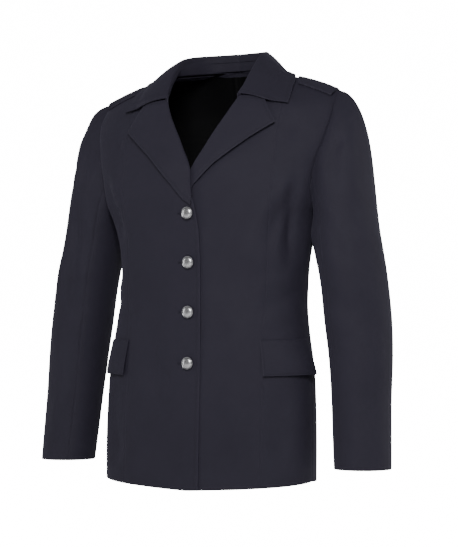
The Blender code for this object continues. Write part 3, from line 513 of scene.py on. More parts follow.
RIGHT_FRONT_FOLDS = (
    # x1, y1, z1, x2, y2, z2, width, height
    (0.180, -0.060, -0.180, 0.140, -0.095, -0.300, 0.0120, -0.0061),
    (0.165, -0.066, -0.165, 0.120, -0.102, -0.285, 0.0120, 0.0047),
    (0.184, -0.034, -0.258, 0.150, -0.070, -0.380, 0.0110, -0.0052),
    (0.170, -0.040, -0.355, 0.090, -0.103, -0.385, 0.0110, 0.0036),
    (0.170, -0.036, -0.388, 0.105, -0.099, -0.412, 0.0090, -0.0039),
    (0.058, -0.108, -0.420, 0.066, -0.112, -0.600, 0.0240, -0.0039),
    (0.105, -0.104, -0.500, 0.098, -0.108, -0.690, 0.0230, 0.0034),
    (0.152, -0.085, -0.520, 0.150, -0.088, -0.685, 0.0180, -0.0044),
    (0.126, -0.078, -0.075, 0.172, -0.062, -0.135, 0.0130, -0.0034),
)
# Neighbouring panels overlap by SEAM_OVERLAP, so that no light shows through a seam.
FRONT_LENGTH = table_knots(FRONT_LEVELS)[-1] + SEAM_OVERLAP
EASE_ROWS = 10
ARMHOLE_DIP = 0.0013
DIP_WIDTH = 0.0024
DIP_FADE = 0.050


def eased(grid, across):
    """The grid with each point averaged along its column, bell-shaped over EASE_ROWS rows each way,
    all but at the armhole and side seam, so that the level where the armhole starts leaves no ledge."""
    padded = np.pad(grid, ((EASE_ROWS, EASE_ROWS), (0, 0), (0, 0)), mode="reflect", reflect_type="odd")
    weights = np.exp(-0.5 * (np.linspace(-2.4, 2.4, 2 * EASE_ROWS + 1)) ** 2)
    mean = sum(weight * padded[i:i + len(grid)] for i, weight in enumerate(weights / weights.sum()))
    share = 1.0 - smoothstep(0.88, 0.99, np.abs(across))
    row = np.arange(len(grid))[:, None]
    share = share * smoothstep(0, 2 * EASE_ROWS, row) * smoothstep(0, 2 * EASE_ROWS, len(grid) - 1 - row)
    return grid + (mean - grid) * share[..., None]


def body_panel(table, across, rows, lift, folds, edges):
    """Outer and inner grids of a body panel: the body's points moved out by the lift, the folds and
    the drape, with the outer face rolled down at the named edges and sunk where a sleeve is sewn on."""
    along = np.broadcast_to(rows[:, None], across.shape)
    flat = eased(body_point(table, across, along), across)
    normal = body_normal(table, across, along)
    soft = creases(flat, folds) + drape(flat)
    knots = table_knots(table)
    still = smoothstep(0.0, 0.030, along) * (1.0 - smoothstep(knots[-1] - 0.035, knots[-1], along))
    centre = flat + normal * (lift + soft * (0.35 + 0.65 * still))[..., None]
    drop = rolled(flat, [edge for edge in edges if edge != "armhole"])
    if "armhole" in edges:
        beside = smoothstep(knots[ARMHOLE_START] - 0.01, knots[ARMHOLE_START] + 0.02, along)
        beside = beside * (1.0 - 0.7 * smoothstep(knots[-1] - DIP_FADE, knots[-1], along))
        drop = drop + ARMHOLE_DIP * np.exp(-edge_distances(flat)["last"] / DIP_WIDTH) * beside
    return centre - normal * drop[..., None], centre - normal * CLOTH


def lined_faces(points, keep):
    """Faces whose first corner lies outside the kept zone, and so carry the satin."""
    return ~keep(points[:-1, :-1])


front_rows = FRONT_LENGTH * close_to_edges(FRONT_ROWS, PANEL_END, PANEL_END)
edge_across = -front_across(front_rows, "edge_x")
seam_across = front_across(front_rows, "seam_x")
half_lap = SEAM_OVERLAP / 2 / LEVEL_LENGTH
centre_part = close_to_edges(FRONT_COLUMNS, 0.006, 0.006)
centre_across = edge_across[:, None] + (seam_across + half_lap - edge_across)[:, None] * centre_part
flank_part = close_to_edges(SIDE_COLUMNS, 0.012, 0.012)
flank_across = (seam_across - half_lap)[:, None] + (1.0 - seam_across + 2 * half_lap)[:, None] * flank_part
hem_height = FRONT_LEVELS[0][2] + HEM_TURN_UP
for side, mirrored, folds in (("left", False, LEFT_FRONT_FOLDS), ("right", True, RIGHT_FRONT_FOLDS)):
    for part, across, edges, stitched in (
            ("front", centre_across, ("low", "first", "last"), ("first",)),
            ("side_front", flank_across, ("low", "first", "last", "armhole"), ())):
        base = body_point(FRONT_LEVELS, across, np.broadcast_to(front_rows[:, None], across.shape))
        outer, inner = body_panel(FRONT_LEVELS, across, front_rows, lap_out(base) * mirrored, folds, edges)
        lined = lined_faces(inner, lambda p: (p[..., 2] < hem_height) | (p[..., 0] < FACING_WIDTH))
        piece = shell(f"{side}_{part}", outer, inner, (navy_wool, black_satin), stitched, lined, mirrored)
        cut, area = cloth_cut(base)


# Backs: two pieces joined down the centre back and shaped by that seam and the side seams. They carry
# the yoke-less shoulders, hang free below the waist and are lined like the fronts.
BACK_ROWS = 150
BACK_COLUMNS = 60
BACK_FOLDS = (
    # x1, y1, z1, x2, y2, z2, width, height
    (0.172, 0.045, -0.190, 0.120, 0.072, -0.330, 0.0130, -0.0046),
    (0.150, 0.070, -0.170, 0.092, 0.078, -0.320, 0.0150, 0.0038),
    (0.165, 0.010, -0.350, 0.060, 0.058, -0.372, 0.0110, 0.0031),
    (0.168, 0.006, -0.378, 0.050, 0.056, -0.398, 0.0100, -0.0038),
    (0.165, 0.010, -0.410, 0.075, 0.058, -0.425, 0.0120, 0.0025),
    (0.060, 0.090, -0.140, 0.052, 0.074, -0.300, 0.0200, -0.0029),
    (0.080, 0.066, -0.450, 0.092, 0.070, -0.680, 0.0240, -0.0042),
    (0.130, 0.050, -0.460, 0.145, 0.045, -0.680, 0.0220, 0.0038),
    (0.030, 0.070, -0.480, 0.036, 0.078, -0.680, 0.0200, 0.0025),
    (0.150, 0.050, -0.080, 0.110, 0.082, -0.150, 0.0150, -0.0027),
)
LEFT_BACK_SHIFT = (0.006, 0.0, -0.012)


back_knots = table_knots(BACK_LEVELS)
back_rows = (back_knots[-1] + SEAM_OVERLAP) * close_to_edges(BACK_ROWS, PANEL_END, PANEL_END)
back_part = close_to_edges(BACK_COLUMNS, 0.008, 0.008)
back_across = np.broadcast_to((1.0 + 2 * half_lap) * back_part - half_lap, (len(back_rows), BACK_COLUMNS))
back_base = body_point(BACK_LEVELS, back_across, np.broadcast_to(back_rows[:, None], back_across.shape))
shifted = tuple(tuple(np.add(fold, (*LEFT_BACK_SHIFT, *LEFT_BACK_SHIFT, 0.002, 0.0))) for fold in BACK_FOLDS)
for side, folds in (("left", shifted), ("right", BACK_FOLDS)):
    outer, inner = body_panel(BACK_LEVELS, back_across, back_rows, 0.0 * back_across, folds,
                              ("low", "first", "last", "armhole"))
    lined = lined_faces(inner, lambda p: p[..., 2] < hem_height)
    piece = shell(f"{side}_back", outer * (-1, 1, 1), inner * (-1, 1, 1), (navy_wool, black_satin),
                  lined=lined, mirrored=side == "left")
    sideways, upward = arc_lengths(back_base)


# Sleeves: two pieces each, a wide top sleeve and a narrow under sleeve, seamed at the front of the
# forearm and behind the elbow. The cap is eased into the armhole, and satin lines the arm.
SLEEVE_LEVELS = (
    # x, y, z, half_width, half_depth
    (0.2374, -0.008, -0.285, 0.0506, 0.062),
    (0.2478, -0.014, -0.350, 0.0520, 0.060),
    (0.2550, -0.017, -0.410, 0.0520, 0.057),
    (0.2626, -0.020, -0.480, 0.0502, 0.053),
    (0.2672, -0.025, -0.550, 0.0478, 0.050),
    (0.2738, -0.036, -0.655, 0.0455, 0.048),
)
FOREARM_SEAM = 0.34
ELBOW_SEAM = 0.68
SLEEVE_GIRTH = 0.30
ARMHOLE_OVERLAP = 0.0001
SEAM_ALLOWANCE = 0.0045
CAP_LEAVES = {"top": (1.00, 0.0, -0.05), "underarm": (0.25, 0.0, -0.90)}
CAP_SPREAD = 0.30
CAP_FULLNESS = 0.74
CAP_ROWS = 56
ARM_ROWS = 86
TUBE_COLUMNS = 145
LEFT_SLEEVE_FOLDS = (
    # x1, y1, z1, x2, y2, z2, width, height
    (0.232, -0.050, -0.110, 0.238, -0.068, -0.200, 0.0100, -0.0046),
    (0.250, -0.040, -0.120, 0.262, -0.050, -0.240, 0.0130, 0.0034),
    (0.205, -0.050, -0.235, 0.262, -0.070, -0.330, 0.0110, -0.0046),
    (0.212, -0.062, -0.300, 0.285, -0.050, -0.380, 0.0120, 0.0038),
    (0.218, -0.066, -0.365, 0.282, -0.058, -0.420, 0.0105, -0.0049),
    (0.222, -0.064, -0.410, 0.290, -0.050, -0.455, 0.0115, 0.0034),
    (0.240, -0.072, -0.470, 0.300, -0.040, -0.520, 0.0120, -0.0029),
    (0.228, 0.050, -0.280, 0.290, 0.030, -0.365, 0.0120, -0.0042),
    (0.222, 0.042, -0.350, 0.288, 0.030, -0.415, 0.0110, 0.0038),
    (0.228, 0.038, -0.400, 0.292, 0.024, -0.450, 0.0110, -0.0042),
    (0.290, -0.020, -0.190, 0.312, -0.030, -0.540, 0.0400, 0.0055),
    (0.186, 0.000, -0.225, 0.198, -0.008, -0.365, 0.0320, 0.0100),
    (0.280, -0.050, -0.540, 0.276, -0.060, -0.640, 0.0150, 0.0025),
)
RIGHT_SLEEVE_FOLDS = (
    # x1, y1, z1, x2, y2, z2, width, height
    (0.222, 0.004, -0.040, 0.268, -0.004, -0.170, 0.0420, 0.0056),
    (0.236, -0.052, -0.095, 0.232, -0.068, -0.190, 0.0090, -0.0089),
    (0.252, -0.046, -0.090, 0.252, -0.062, -0.205, 0.0110, 0.0069),
    (0.262, -0.030, -0.110, 0.272, -0.045, -0.190, 0.0100, -0.0051),
    (0.262, -0.070, -0.200, 0.268, -0.076, -0.400, 0.0150, 0.0083),
    (0.240, -0.072, -0.210, 0.246, -0.078, -0.420, 0.0120, -0.0083),
    (0.222, -0.066, -0.330, 0.285, -0.052, -0.395, 0.0115, 0.0051),
    (0.226, -0.066, -0.385, 0.282, -0.058, -0.440, 0.0105, -0.0063),
    (0.262, -0.072, -0.460, 0.270, -0.080, -0.620, 0.0140, 0.0051),
    (0.225, 0.048, -0.290, 0.292, 0.026, -0.370, 0.0120, -0.0069),
    (0.222, 0.042, -0.345, 0.288, 0.030, -0.410, 0.0110, 0.0057),
    (0.230, 0.036, -0.405, 0.294, 0.020, -0.460, 0.0110, -0.0057),
    (0.294, 0.010, -0.210, 0.298, -0.005, -0.430, 0.0200, 0.0043),
)


def armhole_loop(count):
    """Points, outward normals and outgoing directions round the armhole, evenly spaced by length:
    from the shoulder down the front edge of the body, under the arm and up the back edge."""
    sides = []
    for table in (FRONT_LEVELS, BACK_LEVELS):
        knots = table_knots(table)
        along = np.linspace(knots[ARMHOLE_START], knots[-1], 60)
        edge = np.ones_like(along)
        point = body_point(table, edge, along)
        leaving = unit(point - body_point(table, edge - 0.02, along))
        sides.append((point, body_normal(table, edge, along), leaving))
    loop = [np.concatenate([f[::-1], b[1:]]) for f, b in zip(*sides)]
    length = np.concatenate([[0.0], np.cumsum(np.linalg.norm(np.diff(loop[0], axis=0), axis=1))])
    at = np.linspace(0.0, length[-1], count)
    return [np.stack([np.interp(at, length, values[:, k]) for k in range(3)], axis=-1) for values in loop]


def sleeve_ring(level, turn):
    """Ellipse of a sleeve level: turn 0 is the outer side, a quarter the front, a half the body side."""
    angle = 2 * np.pi * turn
    x = level[..., 0:1] + level[..., 3:4] * np.cos(angle)
    y = level[..., 1:2] - level[..., 4:5] * np.sin(angle)
    return np.stack([x, y, np.broadcast_to(level[..., 2:3], x.shape)], axis=-1)


turn = np.linspace(0.0, 1.0, TUBE_COLUMNS)
hole, hole_normal, outgoing = armhole_loop(TUBE_COLUMNS)
levels = np.asarray(SLEEVE_LEVELS, float)
sleeve_knots = np.concatenate([[0.0], np.cumsum(-np.diff(levels[:, 2]))])
down_arm = np.concatenate([np.linspace(0.0, 0.985, ARM_ROWS - 3), [0.9925, 0.9965, 1.0]]) * sleeve_knots[-1]
coarse_arm = monotone_curve(sleeve_knots, levels, np.linspace(0.0, sleeve_knots[-1], 9))
arm = sleeve_ring(monotone_curve(sleeve_knots, levels, down_arm), turn)
ring = arm[0]
reach = np.linalg.norm(ring - hole, axis=1, keepdims=True)
top = (0.5 + 0.5 * np.cos(2 * np.pi * turn))[:, None]
under = np.asarray(CAP_LEAVES["underarm"])
leave = under + (np.asarray(CAP_LEAVES["top"]) - under) * top
leave[:, 1] = -CAP_SPREAD * np.sin(2 * np.pi * turn)
leave = unit(leave)
arrive = unit(sleeve_ring(coarse_arm[1:2], turn)[0] - ring)
p = np.concatenate([[0.0, 0.012, 0.035], np.linspace(0.06, 1.0, CAP_ROWS - 3, endpoint=False)])[:, None, None]
cap = ((2 * p ** 3 - 3 * p ** 2 + 1) * (hole - outgoing * ARMHOLE_OVERLAP)
       + (p ** 3 - 2 * p ** 2 + p) * leave * reach * CAP_FULLNESS
       + (3 * p ** 2 - 2 * p ** 3) * ring + (p ** 3 - p ** 2) * arrive * reach)
turned_in = cap[:1] - hole_normal * SEAM_ALLOWANCE
tube = np.concatenate([turned_in, cap, arm])
down = np.gradient(tube, axis=0)
around = np.gradient(tube, axis=1)
around[:, 0] = tube[:, 1] - tube[:, -2]
around[:, -1] = around[:, 0]
tube_normal = unit(np.cross(around, down))
tube_normal *= np.sign((tube_normal[-1] * (tube[-1] - tube[-1].mean(axis=0))).sum())
tube_normal[0] = -outgoing
tube_normal[1] = unit(hole_normal - outgoing * 0.6)
towards_body = np.linspace(0.75, 0.1, 5)[:, None, None]
tube_normal[2:7] = unit(tube_normal[2:7] + (hole_normal - tube_normal[2:7]) * towards_body)


def round_tube(values, low, high, columns):
    """Values of a closed tube's columns between two turns, linearly between its own columns."""
    at = (low + (high - low) * close_to_edges(columns, 0.006, 0.006)) % 1.0 * (TUBE_COLUMNS - 1)
    before = np.minimum(at.astype(int), TUBE_COLUMNS - 2)
    part = (at - before)[None, :, None]
    return values[:, before] * (1.0 - part) + values[:, before + 1] * part


sleeve_lap = SEAM_OVERLAP / 2 / SLEEVE_GIRTH
for side, mirrored, folds in (("left", False, LEFT_SLEEVE_FOLDS), ("right", True, RIGHT_SLEEVE_FOLDS)):
    from_armhole = np.linalg.norm(tube - tube[1:2], axis=-1) * (np.arange(len(tube)) > 1)[:, None]
    soft = (creases(tube, folds) + drape(tube)) * smoothstep(0.0, 0.030, from_armhole)
    dip = ARMHOLE_DIP * (1.0 - 0.7 * smoothstep(-0.10, -0.045, tube[1:2, :, 2]))
    dip = dip * np.exp(-from_armhole / DIP_WIDTH)
    sewn_in = (np.arange(len(tube)) < 2)[:, None, None]
    centre = tube + tube_normal * soft[..., None]
    centre = centre - np.where(sewn_in, hole_normal, tube_normal) * dip[..., None]
    for part, low, high, columns in (("top_sleeve", ELBOW_SEAM - 1.0, FOREARM_SEAM, 92),
                                     ("under_sleeve", FOREARM_SEAM, ELBOW_SEAM, 50)):
        grid = round_tube(centre, low - sleeve_lap, high + sleeve_lap, columns)
        way = unit(round_tube(tube_normal, low - sleeve_lap, high + sleeve_lap, columns))
        seams = rolled(grid, ("first", "last")) * smoothstep(0.0, 0.006, edge_distances(grid)["high"])
        outer = grid - way * (rolled(grid, ("high",)) + seams)[..., None]
        inner = grid - way * CLOTH
        lined = lined_faces(inner, lambda q: q[..., 2] < SLEEVE_LEVELS[-1][2] + HEM_TURN_UP)
        piece = shell(f"{side}_{part}", outer, inner, (navy_wool, black_satin), (), lined, mirrored)
        cut, area = cloth_cut(grid)


# Lapels: the turned fronts. The facing comes up inside the front edge, rolls over it and lies on the
# chest out to a pointed edge, which is pressed and pick-stitched; a notch parts it from the collar.
LAPEL_CLEARANCE = 0.0007
LAPEL_EDGE = {
    "left": ((-0.006, -0.2215), (0.0055, -0.199), (0.040, -0.165), (0.099, -0.122), (0.1359, -0.099)),
    "right": ((-0.008, -0.2330), (0.0090, -0.222), (0.0325, -0.196), (0.085, -0.146), (0.1359, -0.103)),
}
NOTCH = (0.1090, -0.0549)
GORGE_HEIGHT = -0.052
LAPEL_TOP = -0.0494
LAPEL_ROWS = 84
LAPEL_COLUMNS = 40
ROLL_COLUMNS = 12
LAPEL_LIFT = 0.0042
LAPEL_TIP = 0.80
ROLL_EASE = 0.0004
FACING_SHOWN = 0.012


def find_on_body(table, target, axes, guess=(0.45, 0.55)):
    """Across and along of the body point that has the target's two coordinates, by Newton steps."""
    length = table_knots(table)[-1]
    target = np.asarray(target, float)
    s = np.full(target.shape[:-1], guess[0])
    t = np.full(target.shape[:-1], guess[1] * length)
    e = 1e-5
    for _ in range(25):
        here = body_point(table, s, t)[..., axes]
        by_s = (body_point(table, s + e, t)[..., axes] - here) / e
        by_t = (body_point(table, s, t + e)[..., axes] - here) / e
        miss = target - here
        det = by_s[..., 0] * by_t[..., 1] - by_s[..., 1] * by_t[..., 0]
        det = np.where(np.abs(det) < 1e-9, 1e-9, det)
        ds = (miss[..., 0] * by_t[..., 1] - miss[..., 1] * by_t[..., 0]) / det
        dt = (by_s[..., 0] * miss[..., 1] - by_s[..., 1] * miss[..., 0]) / det
        s = np.clip(s + np.clip(ds, -0.15, 0.15), -0.30, 1.0)
        t = np.clip(t + np.clip(dt, -0.06, 0.06), 0.0, length)
    return s, t


def polyline(points, at):
    """Points of a line at the given parts of its length, straight between its own points."""
    points = np.asarray(points, float)
    length = np.concatenate([[0.0], np.cumsum(np.linalg.norm(np.diff(points, axis=0), axis=1))])
    at = at * length[-1]
    return np.stack([np.interp(at, length, points[:, k]) for k in range(points.shape[1])], axis=-1)


front_knots = table_knots(FRONT_LEVELS)
along = np.linspace(front_knots[BREAK_LEVEL], front_knots[-1], 400)
line = body_point(FRONT_LEVELS, -front_across(along, "edge_x"), along)[:, [0, 2]]
roll_part = np.concatenate([[0.012, 0.016], np.linspace(0.024, 0.992, LAPEL_ROWS - 4), [0.997, 1.0]])
roll_line = polyline(line[line[:, 1] <= LAPEL_TOP], roll_part)
for side, mirrored, folds in (("left", False, LEFT_FRONT_FOLDS), ("right", True, RIGHT_FRONT_FOLDS)):
    edge_part = np.minimum(roll_part / LAPEL_TIP, 1.0)
    notch_part = np.clip((roll_part - LAPEL_TIP) / (1.0 - LAPEL_TIP), 0.0, 1.0)[:, None]
    edge = polyline(LAPEL_EDGE[side], edge_part)
    edge = edge + (np.asarray(NOTCH) - edge) * notch_part
    part = close_to_edges(LAPEL_COLUMNS, 0.004, 0.008)[None, :, None]
    place = roll_line[:, None] + (edge - roll_line)[:, None] * part
    s, t = find_on_body(FRONT_LEVELS, place, (0, 2))
    flat = body_point(FRONT_LEVELS, s, t)
    way = body_normal(FRONT_LEVELS, s, t)
    size = np.linalg.norm(flat[:, -1] - flat[:, 0], axis=-1)
    crown = np.sin(np.pi * 0.62 * part[..., 0]) ** 1.5 * np.minimum(size / 0.05, 1.0)[:, None]
    lift = lap_out(flat) * mirrored + LAPEL_CLEARANCE + CLOTH + LAPEL_LIFT * crown
    soft = creases(flat, folds) + drape(flat)
    laid = flat + way * (lift + soft * 0.6)[..., None]
    away = unit(flat[:, :1] - flat[:, 5:6])
    radius = (LAPEL_CLEARANCE + 2 * CLOTH) / 2 + ROLL_EASE
    radius = radius * smoothstep(0.0, 0.006, size)[:, None, None]
    angle = np.linspace(-np.pi / 2, np.pi / 2, ROLL_COLUMNS)[None, :-1, None]
    middle = laid[:, :1] - way[:, :1] * radius
    fold = middle + away * radius * np.cos(angle) * 1.15 + way[:, :1] * radius * np.sin(angle)
    tail = np.linspace(FACING_SHOWN, 0.0, 5)[None, :-1, None] * np.minimum(size / 0.03, 1.0)[:, None, None]
    facing = fold[:, :1] - away * tail
    centre = np.concatenate([facing, fold, laid], axis=1)
    across_way = np.gradient(centre, axis=1)
    up_way = np.gradient(centre, axis=0)
    normal = unit(np.cross(across_way, up_way))
    outer = centre - normal * rolled(centre, ("high", "last"), *PRESSED_EDGE)[..., None]
    inner = centre - normal * CLOTH * UNLINED
    piece = shell(f"{side}_lapel", outer, inner, (navy_wool, navy_wool), ("last", "high"), None, mirrored)
    cut, _ = cloth_cut(centre)
    sideways, upward = arc_lengths(centre)


# Collar: a fall turned down over the shoulders and, inside it, the stand that is sewn to the neckline.
# The fall's cloth rolls over the top of the stand; its edge is pressed and stitched like the lapels'.
COLLAR_STATIONS = (
    # roll_x, roll_y, roll_z, edge_x, edge_y, edge_z
    (0.0690, -0.064, -0.049, 0.1085, -0.066, -0.0545),
    (0.0740, -0.052, -0.034, 0.1500, -0.048, -0.0680),
    (0.0775, -0.024, -0.002, 0.1440, -0.012, -0.0340),
    (0.0780, 0.008, 0.023, 0.1210, 0.024, -0.0100),
    (0.0670, 0.048, 0.034, 0.0900, 0.080, -0.0080),
    (0.0380, 0.074, 0.038, 0.0500, 0.104, -0.0110),
    (0.0000, 0.083, 0.039, 0.0000, 0.110, -0.0130),
)
COLLAR_ARCH = {"left": 0.52, "right": 0.78}
COLLAR_FALL = 0.25
COLLAR_LIFT = 0.0032
GORGE_SINK = 0.0009
COLLAR_END_COLUMNS = 12
COLLAR_HALF_COLUMNS = 66
STAND_INSIDE = 0.010
STAND_SEWN = 0.0010
STAND_BOW = 0.0012
COLLAR_ROLL = 0.0012
COLLAR_WAVE = 0.0005

stations = np.asarray(COLLAR_STATIONS, float)
end_part = np.linspace(0.0, 1.0, COLLAR_END_COLUMNS, endpoint=False)[:, None]
end_rows = stations[0] + (stations[1] - stations[0]) * end_part
collar_knots = np.linalg.norm(np.diff(stations[1:, 0:3], axis=0), axis=1)
collar_knots = np.concatenate([[0.0], np.cumsum(collar_knots)])
half = monotone_curve(collar_knots, stations[1:], np.linspace(0.0, collar_knots[-1], COLLAR_HALF_COLUMNS))
half = np.concatenate([end_rows, half])
station = np.concatenate([half, (half * np.tile([-1.0, 1.0, 1.0], 2))[-2::-1]])
roll, edge = station[:, 0:3], station[:, 3:6]

cloud_points = []
cloud_normals = []
for table in (FRONT_LEVELS, BACK_LEVELS):
    knots = table_knots(table)
    s, t = np.meshgrid(np.linspace(0, 1, 110), np.linspace(knots[ARMHOLE_START], knots[-1], 220))
    for flip in ((1, 1, 1), (-1, 1, 1)):
        cloud_points.append((body_point(table, s, t) * flip).reshape(-1, 3))
        cloud_normals.append((body_normal(table, s, t) * flip).reshape(-1, 3))
cloud_points = np.concatenate(cloud_points)
cloud_normals = np.concatenate(cloud_normals)


def lay_on_body(points, height, only_lift=False):
    """Points moved along the nearest body normal to a height over the body, or only those lifted that
    lie lower. The nearest is the least |b|2 - 2 p.b of the body's points."""
    flat = points.reshape(-1, 3)
    squares = (cloud_points ** 2).sum(axis=1)
    nearest = [np.argmin(squares - 2.0 * rows @ cloud_points.T, axis=1) for rows in np.array_split(flat, 40)]
    nearest = np.concatenate(nearest)
    normal = cloud_normals[nearest]
    move = np.asarray(height).ravel() - ((flat - cloud_points[nearest]) * normal).sum(axis=1)
    if only_lift:
        move = np.maximum(move, 0.0)
    return (flat + normal * move[:, None]).reshape(points.shape)


outward = unit((edge - roll) * (1, 1, 0))
roll_top = roll - outward * CLOTH / 2 + (0.0, 0.0, CLOTH + COLLAR_ROLL)
fall_part = np.concatenate([np.linspace(0.0, 0.97, 34), [0.985, 0.994, 1.0]])[:, None, None]
span = edge - roll_top
to_right = smoothstep(0.05, -0.05, roll[:, 0:1])
arch = COLLAR_ARCH["left"] + (COLLAR_ARCH["right"] - COLLAR_ARCH["left"]) * to_right
handle = roll_top + span * (1, 1, 0) * arch + span * (0, 0, COLLAR_FALL)
fall = (1 - fall_part) ** 2 * roll_top + 2 * fall_part * (1 - fall_part) * handle + fall_part ** 2 * edge
from_middle = np.abs(np.linspace(-1.0, 1.0, len(station)))
sunk = np.broadcast_to(smoothstep(0.93, 1.0, from_middle), fall.shape[:2])
fall = lay_on_body(fall, COLLAR_LIFT + CLOTH / 2 - GORGE_SINK * sunk, only_lift=True)
wave = COLLAR_WAVE * np.sin(fall[..., 0] * 60.0 + fall[..., 1] * 45.0)
wave = wave * np.clip(fall_part[..., 0] * 1.5, 0, 1)
radius = CLOTH / 2 + COLLAR_ROLL + CLOTH / 2
angle = np.linspace(0.0, np.pi / 2, 8)[:-1, None, None]
upright = np.array([0.0, 0.0, 1.0])
round_roll = -outward * np.cos(angle) + upright * np.sin(angle)
over = roll_top - (0.0, 0.0, radius) + round_roll * radius
inside = over[:1] - upright * np.linspace(STAND_INSIDE, 0.0, 6)[:-1, None, None]
centre = np.concatenate([inside, over, fall])
normal = unit(np.cross(np.gradient(centre, axis=0), np.gradient(centre, axis=1)))
normal = normal * np.sign((normal[-8:] * outward).sum())
soft = np.concatenate([np.zeros((len(centre) - len(fall), len(station))), wave])
pressed = rolled(centre, ("high", "first", "last"), *PRESSED_EDGE)
top_face = centre + normal * (CLOTH / 2 + soft - pressed)[..., None]
under_face = centre - normal * (CLOTH / 2 - soft)[..., None]
piece = shell("collar_fall", under_face, top_face, (navy_wool, navy_wool), ("high", "first", "last"))
cut, area = cloth_cut(centre)

edge_line = np.zeros(400)
neck = body_point(BACK_LEVELS, edge_line, np.linspace(back_knots[NAPE_LEVEL], back_knots[-1], 400))[::-1]
gorge = body_point(FRONT_LEVELS, edge_line, np.linspace(front_knots[BREAK_LEVEL], front_knots[-1], 400))
gorge = gorge[gorge[:, 2] >= GORGE_HEIGHT]
neckline = np.concatenate([gorge[:-1], neck])
foot = np.concatenate([neckline, (neckline * (-1, 1, 1))[-2::-1]])
foot = polyline(foot, np.linspace(0.0, 1.0, len(station)))
foot = foot - (0.0, 0.0, STAND_SEWN)
rise = close_to_edges(16, 0.03, 0.03)[:, None, None]
stand = foot + (roll - foot) * rise
stand = stand - outward * (STAND_BOW * np.sin(np.pi * rise))
normal = unit(np.cross(np.gradient(stand, axis=0), np.gradient(stand, axis=1)))
normal = normal * np.sign((normal * outward).sum())
piece = shell("collar_stand", stand, stand - normal * CLOTH * UNLINED, (navy_wool, navy_wool))
cut, area = cloth_cut(stand)


# Pocket flaps: two layers of the cloth, bagged out and pressed, sewn to the side fronts at hip height.
# They hang free of the panel and swing out a little towards the side seam.
FLAP_TOP = -0.449
FLAP_DEPTH = 0.058
FLAP_FRONT_X = 0.124
FLAP_CLEARANCE = 0.0010
FLAP_FLARE = {"left": 0.0095, "right": 0.0010}
FLAP_END = 0.985
FLAP_FRONT_LIFT = 0.0032
FLAP_BOW = {"left": 0.0009, "right": 0.0012}
FLAP_SEAM = (0.0016, 0.0012)
FLAP_ROWS = 34
FLAP_COLUMNS = 60

first, _ = find_on_body(FRONT_LEVELS, np.array([FLAP_FRONT_X, FLAP_TOP - FLAP_DEPTH / 2]), (0, 2))
part, down = np.meshgrid(close_to_edges(FLAP_COLUMNS, 0.010, 0.010),
                         1.0 - close_to_edges(FLAP_ROWS, 0.02, 0.02))
across = first + (FLAP_END - first) * part
line = np.linspace(0.0, front_knots[-1], 400)
heights = body_point(FRONT_LEVELS, np.full(400, float(across.mean())), line)[:, 2]
along = np.interp(FLAP_TOP - FLAP_DEPTH * down, heights, line)
flat = body_point(FRONT_LEVELS, across, along)
way = body_normal(FRONT_LEVELS, across, along)
for side, mirrored, folds in (("left", False, LEFT_FRONT_FOLDS), ("right", True, RIGHT_FRONT_FOLDS)):
    lift = LAP_CLEARANCE + (FLAP_CLEARANCE + FLAP_FLARE[side] * part ** 2) * down
    lift = lift + (FLAP_BOW[side] * np.sin(np.pi * part) + FLAP_FRONT_LIFT * (1.0 - part) ** 6) * down
    lift = lift + (creases(flat, folds) + drape(flat)) * 0.8
    centre = flat + way * lift[..., None]
    seam = rolled(flat, ("high",), *FLAP_SEAM)
    pressed = rolled(flat, ("low", "first", "last"), *PRESSED_EDGE)
    outer = centre + way * (CLOTH - seam - pressed)[..., None]
    piece = shell(f"{side}_pocket_flap", outer, centre, (navy_wool, black_satin), ("low", "first", "last"),
                  None, mirrored)
    cut, _ = cloth_cut(flat)


# Neck inside: a facing of the cloth that follows the back neckline and, beyond it, the satin lining of
# the back with its ease pleat at the centre, sewn to the facing and lying on the back's inner side.
LINING = 0.0012
LINING_EASE = 0.0022
LINING_STEP = 0.0002
LINING_REACH = 0.985
UNDERARM_EASE = 0.0075
NECK_EDGE = 0.02
NECK_FACING_EDGE = (
    # part, across, drop
    (0.0, 0.000, 0.016),
    (0.3, 0.085, 0.028),
    (0.6, 0.110, 0.030),
    (1.0, 0.120, 0.000),
)
NECK_COLUMNS = 70
PLEAT_WIDTH = 0.010
PLEAT_HEIGHT = 0.0009
PLEAT_SOFTNESS = 0.002
LINING_WAVE = 0.0005


def back_inside(across, along, depth):
    """Points inside the back at a depth under its outer face; negative across is the right half."""
    side = np.sign(across + 1e-9)[..., None] * (1.0, 0.0, 0.0) + (0.0, 1.0, 1.0)
    half = np.abs(across)
    return (body_point(BACK_LEVELS, half, along)
            - body_normal(BACK_LEVELS, half, along) * np.asarray(depth)[..., None]) * side


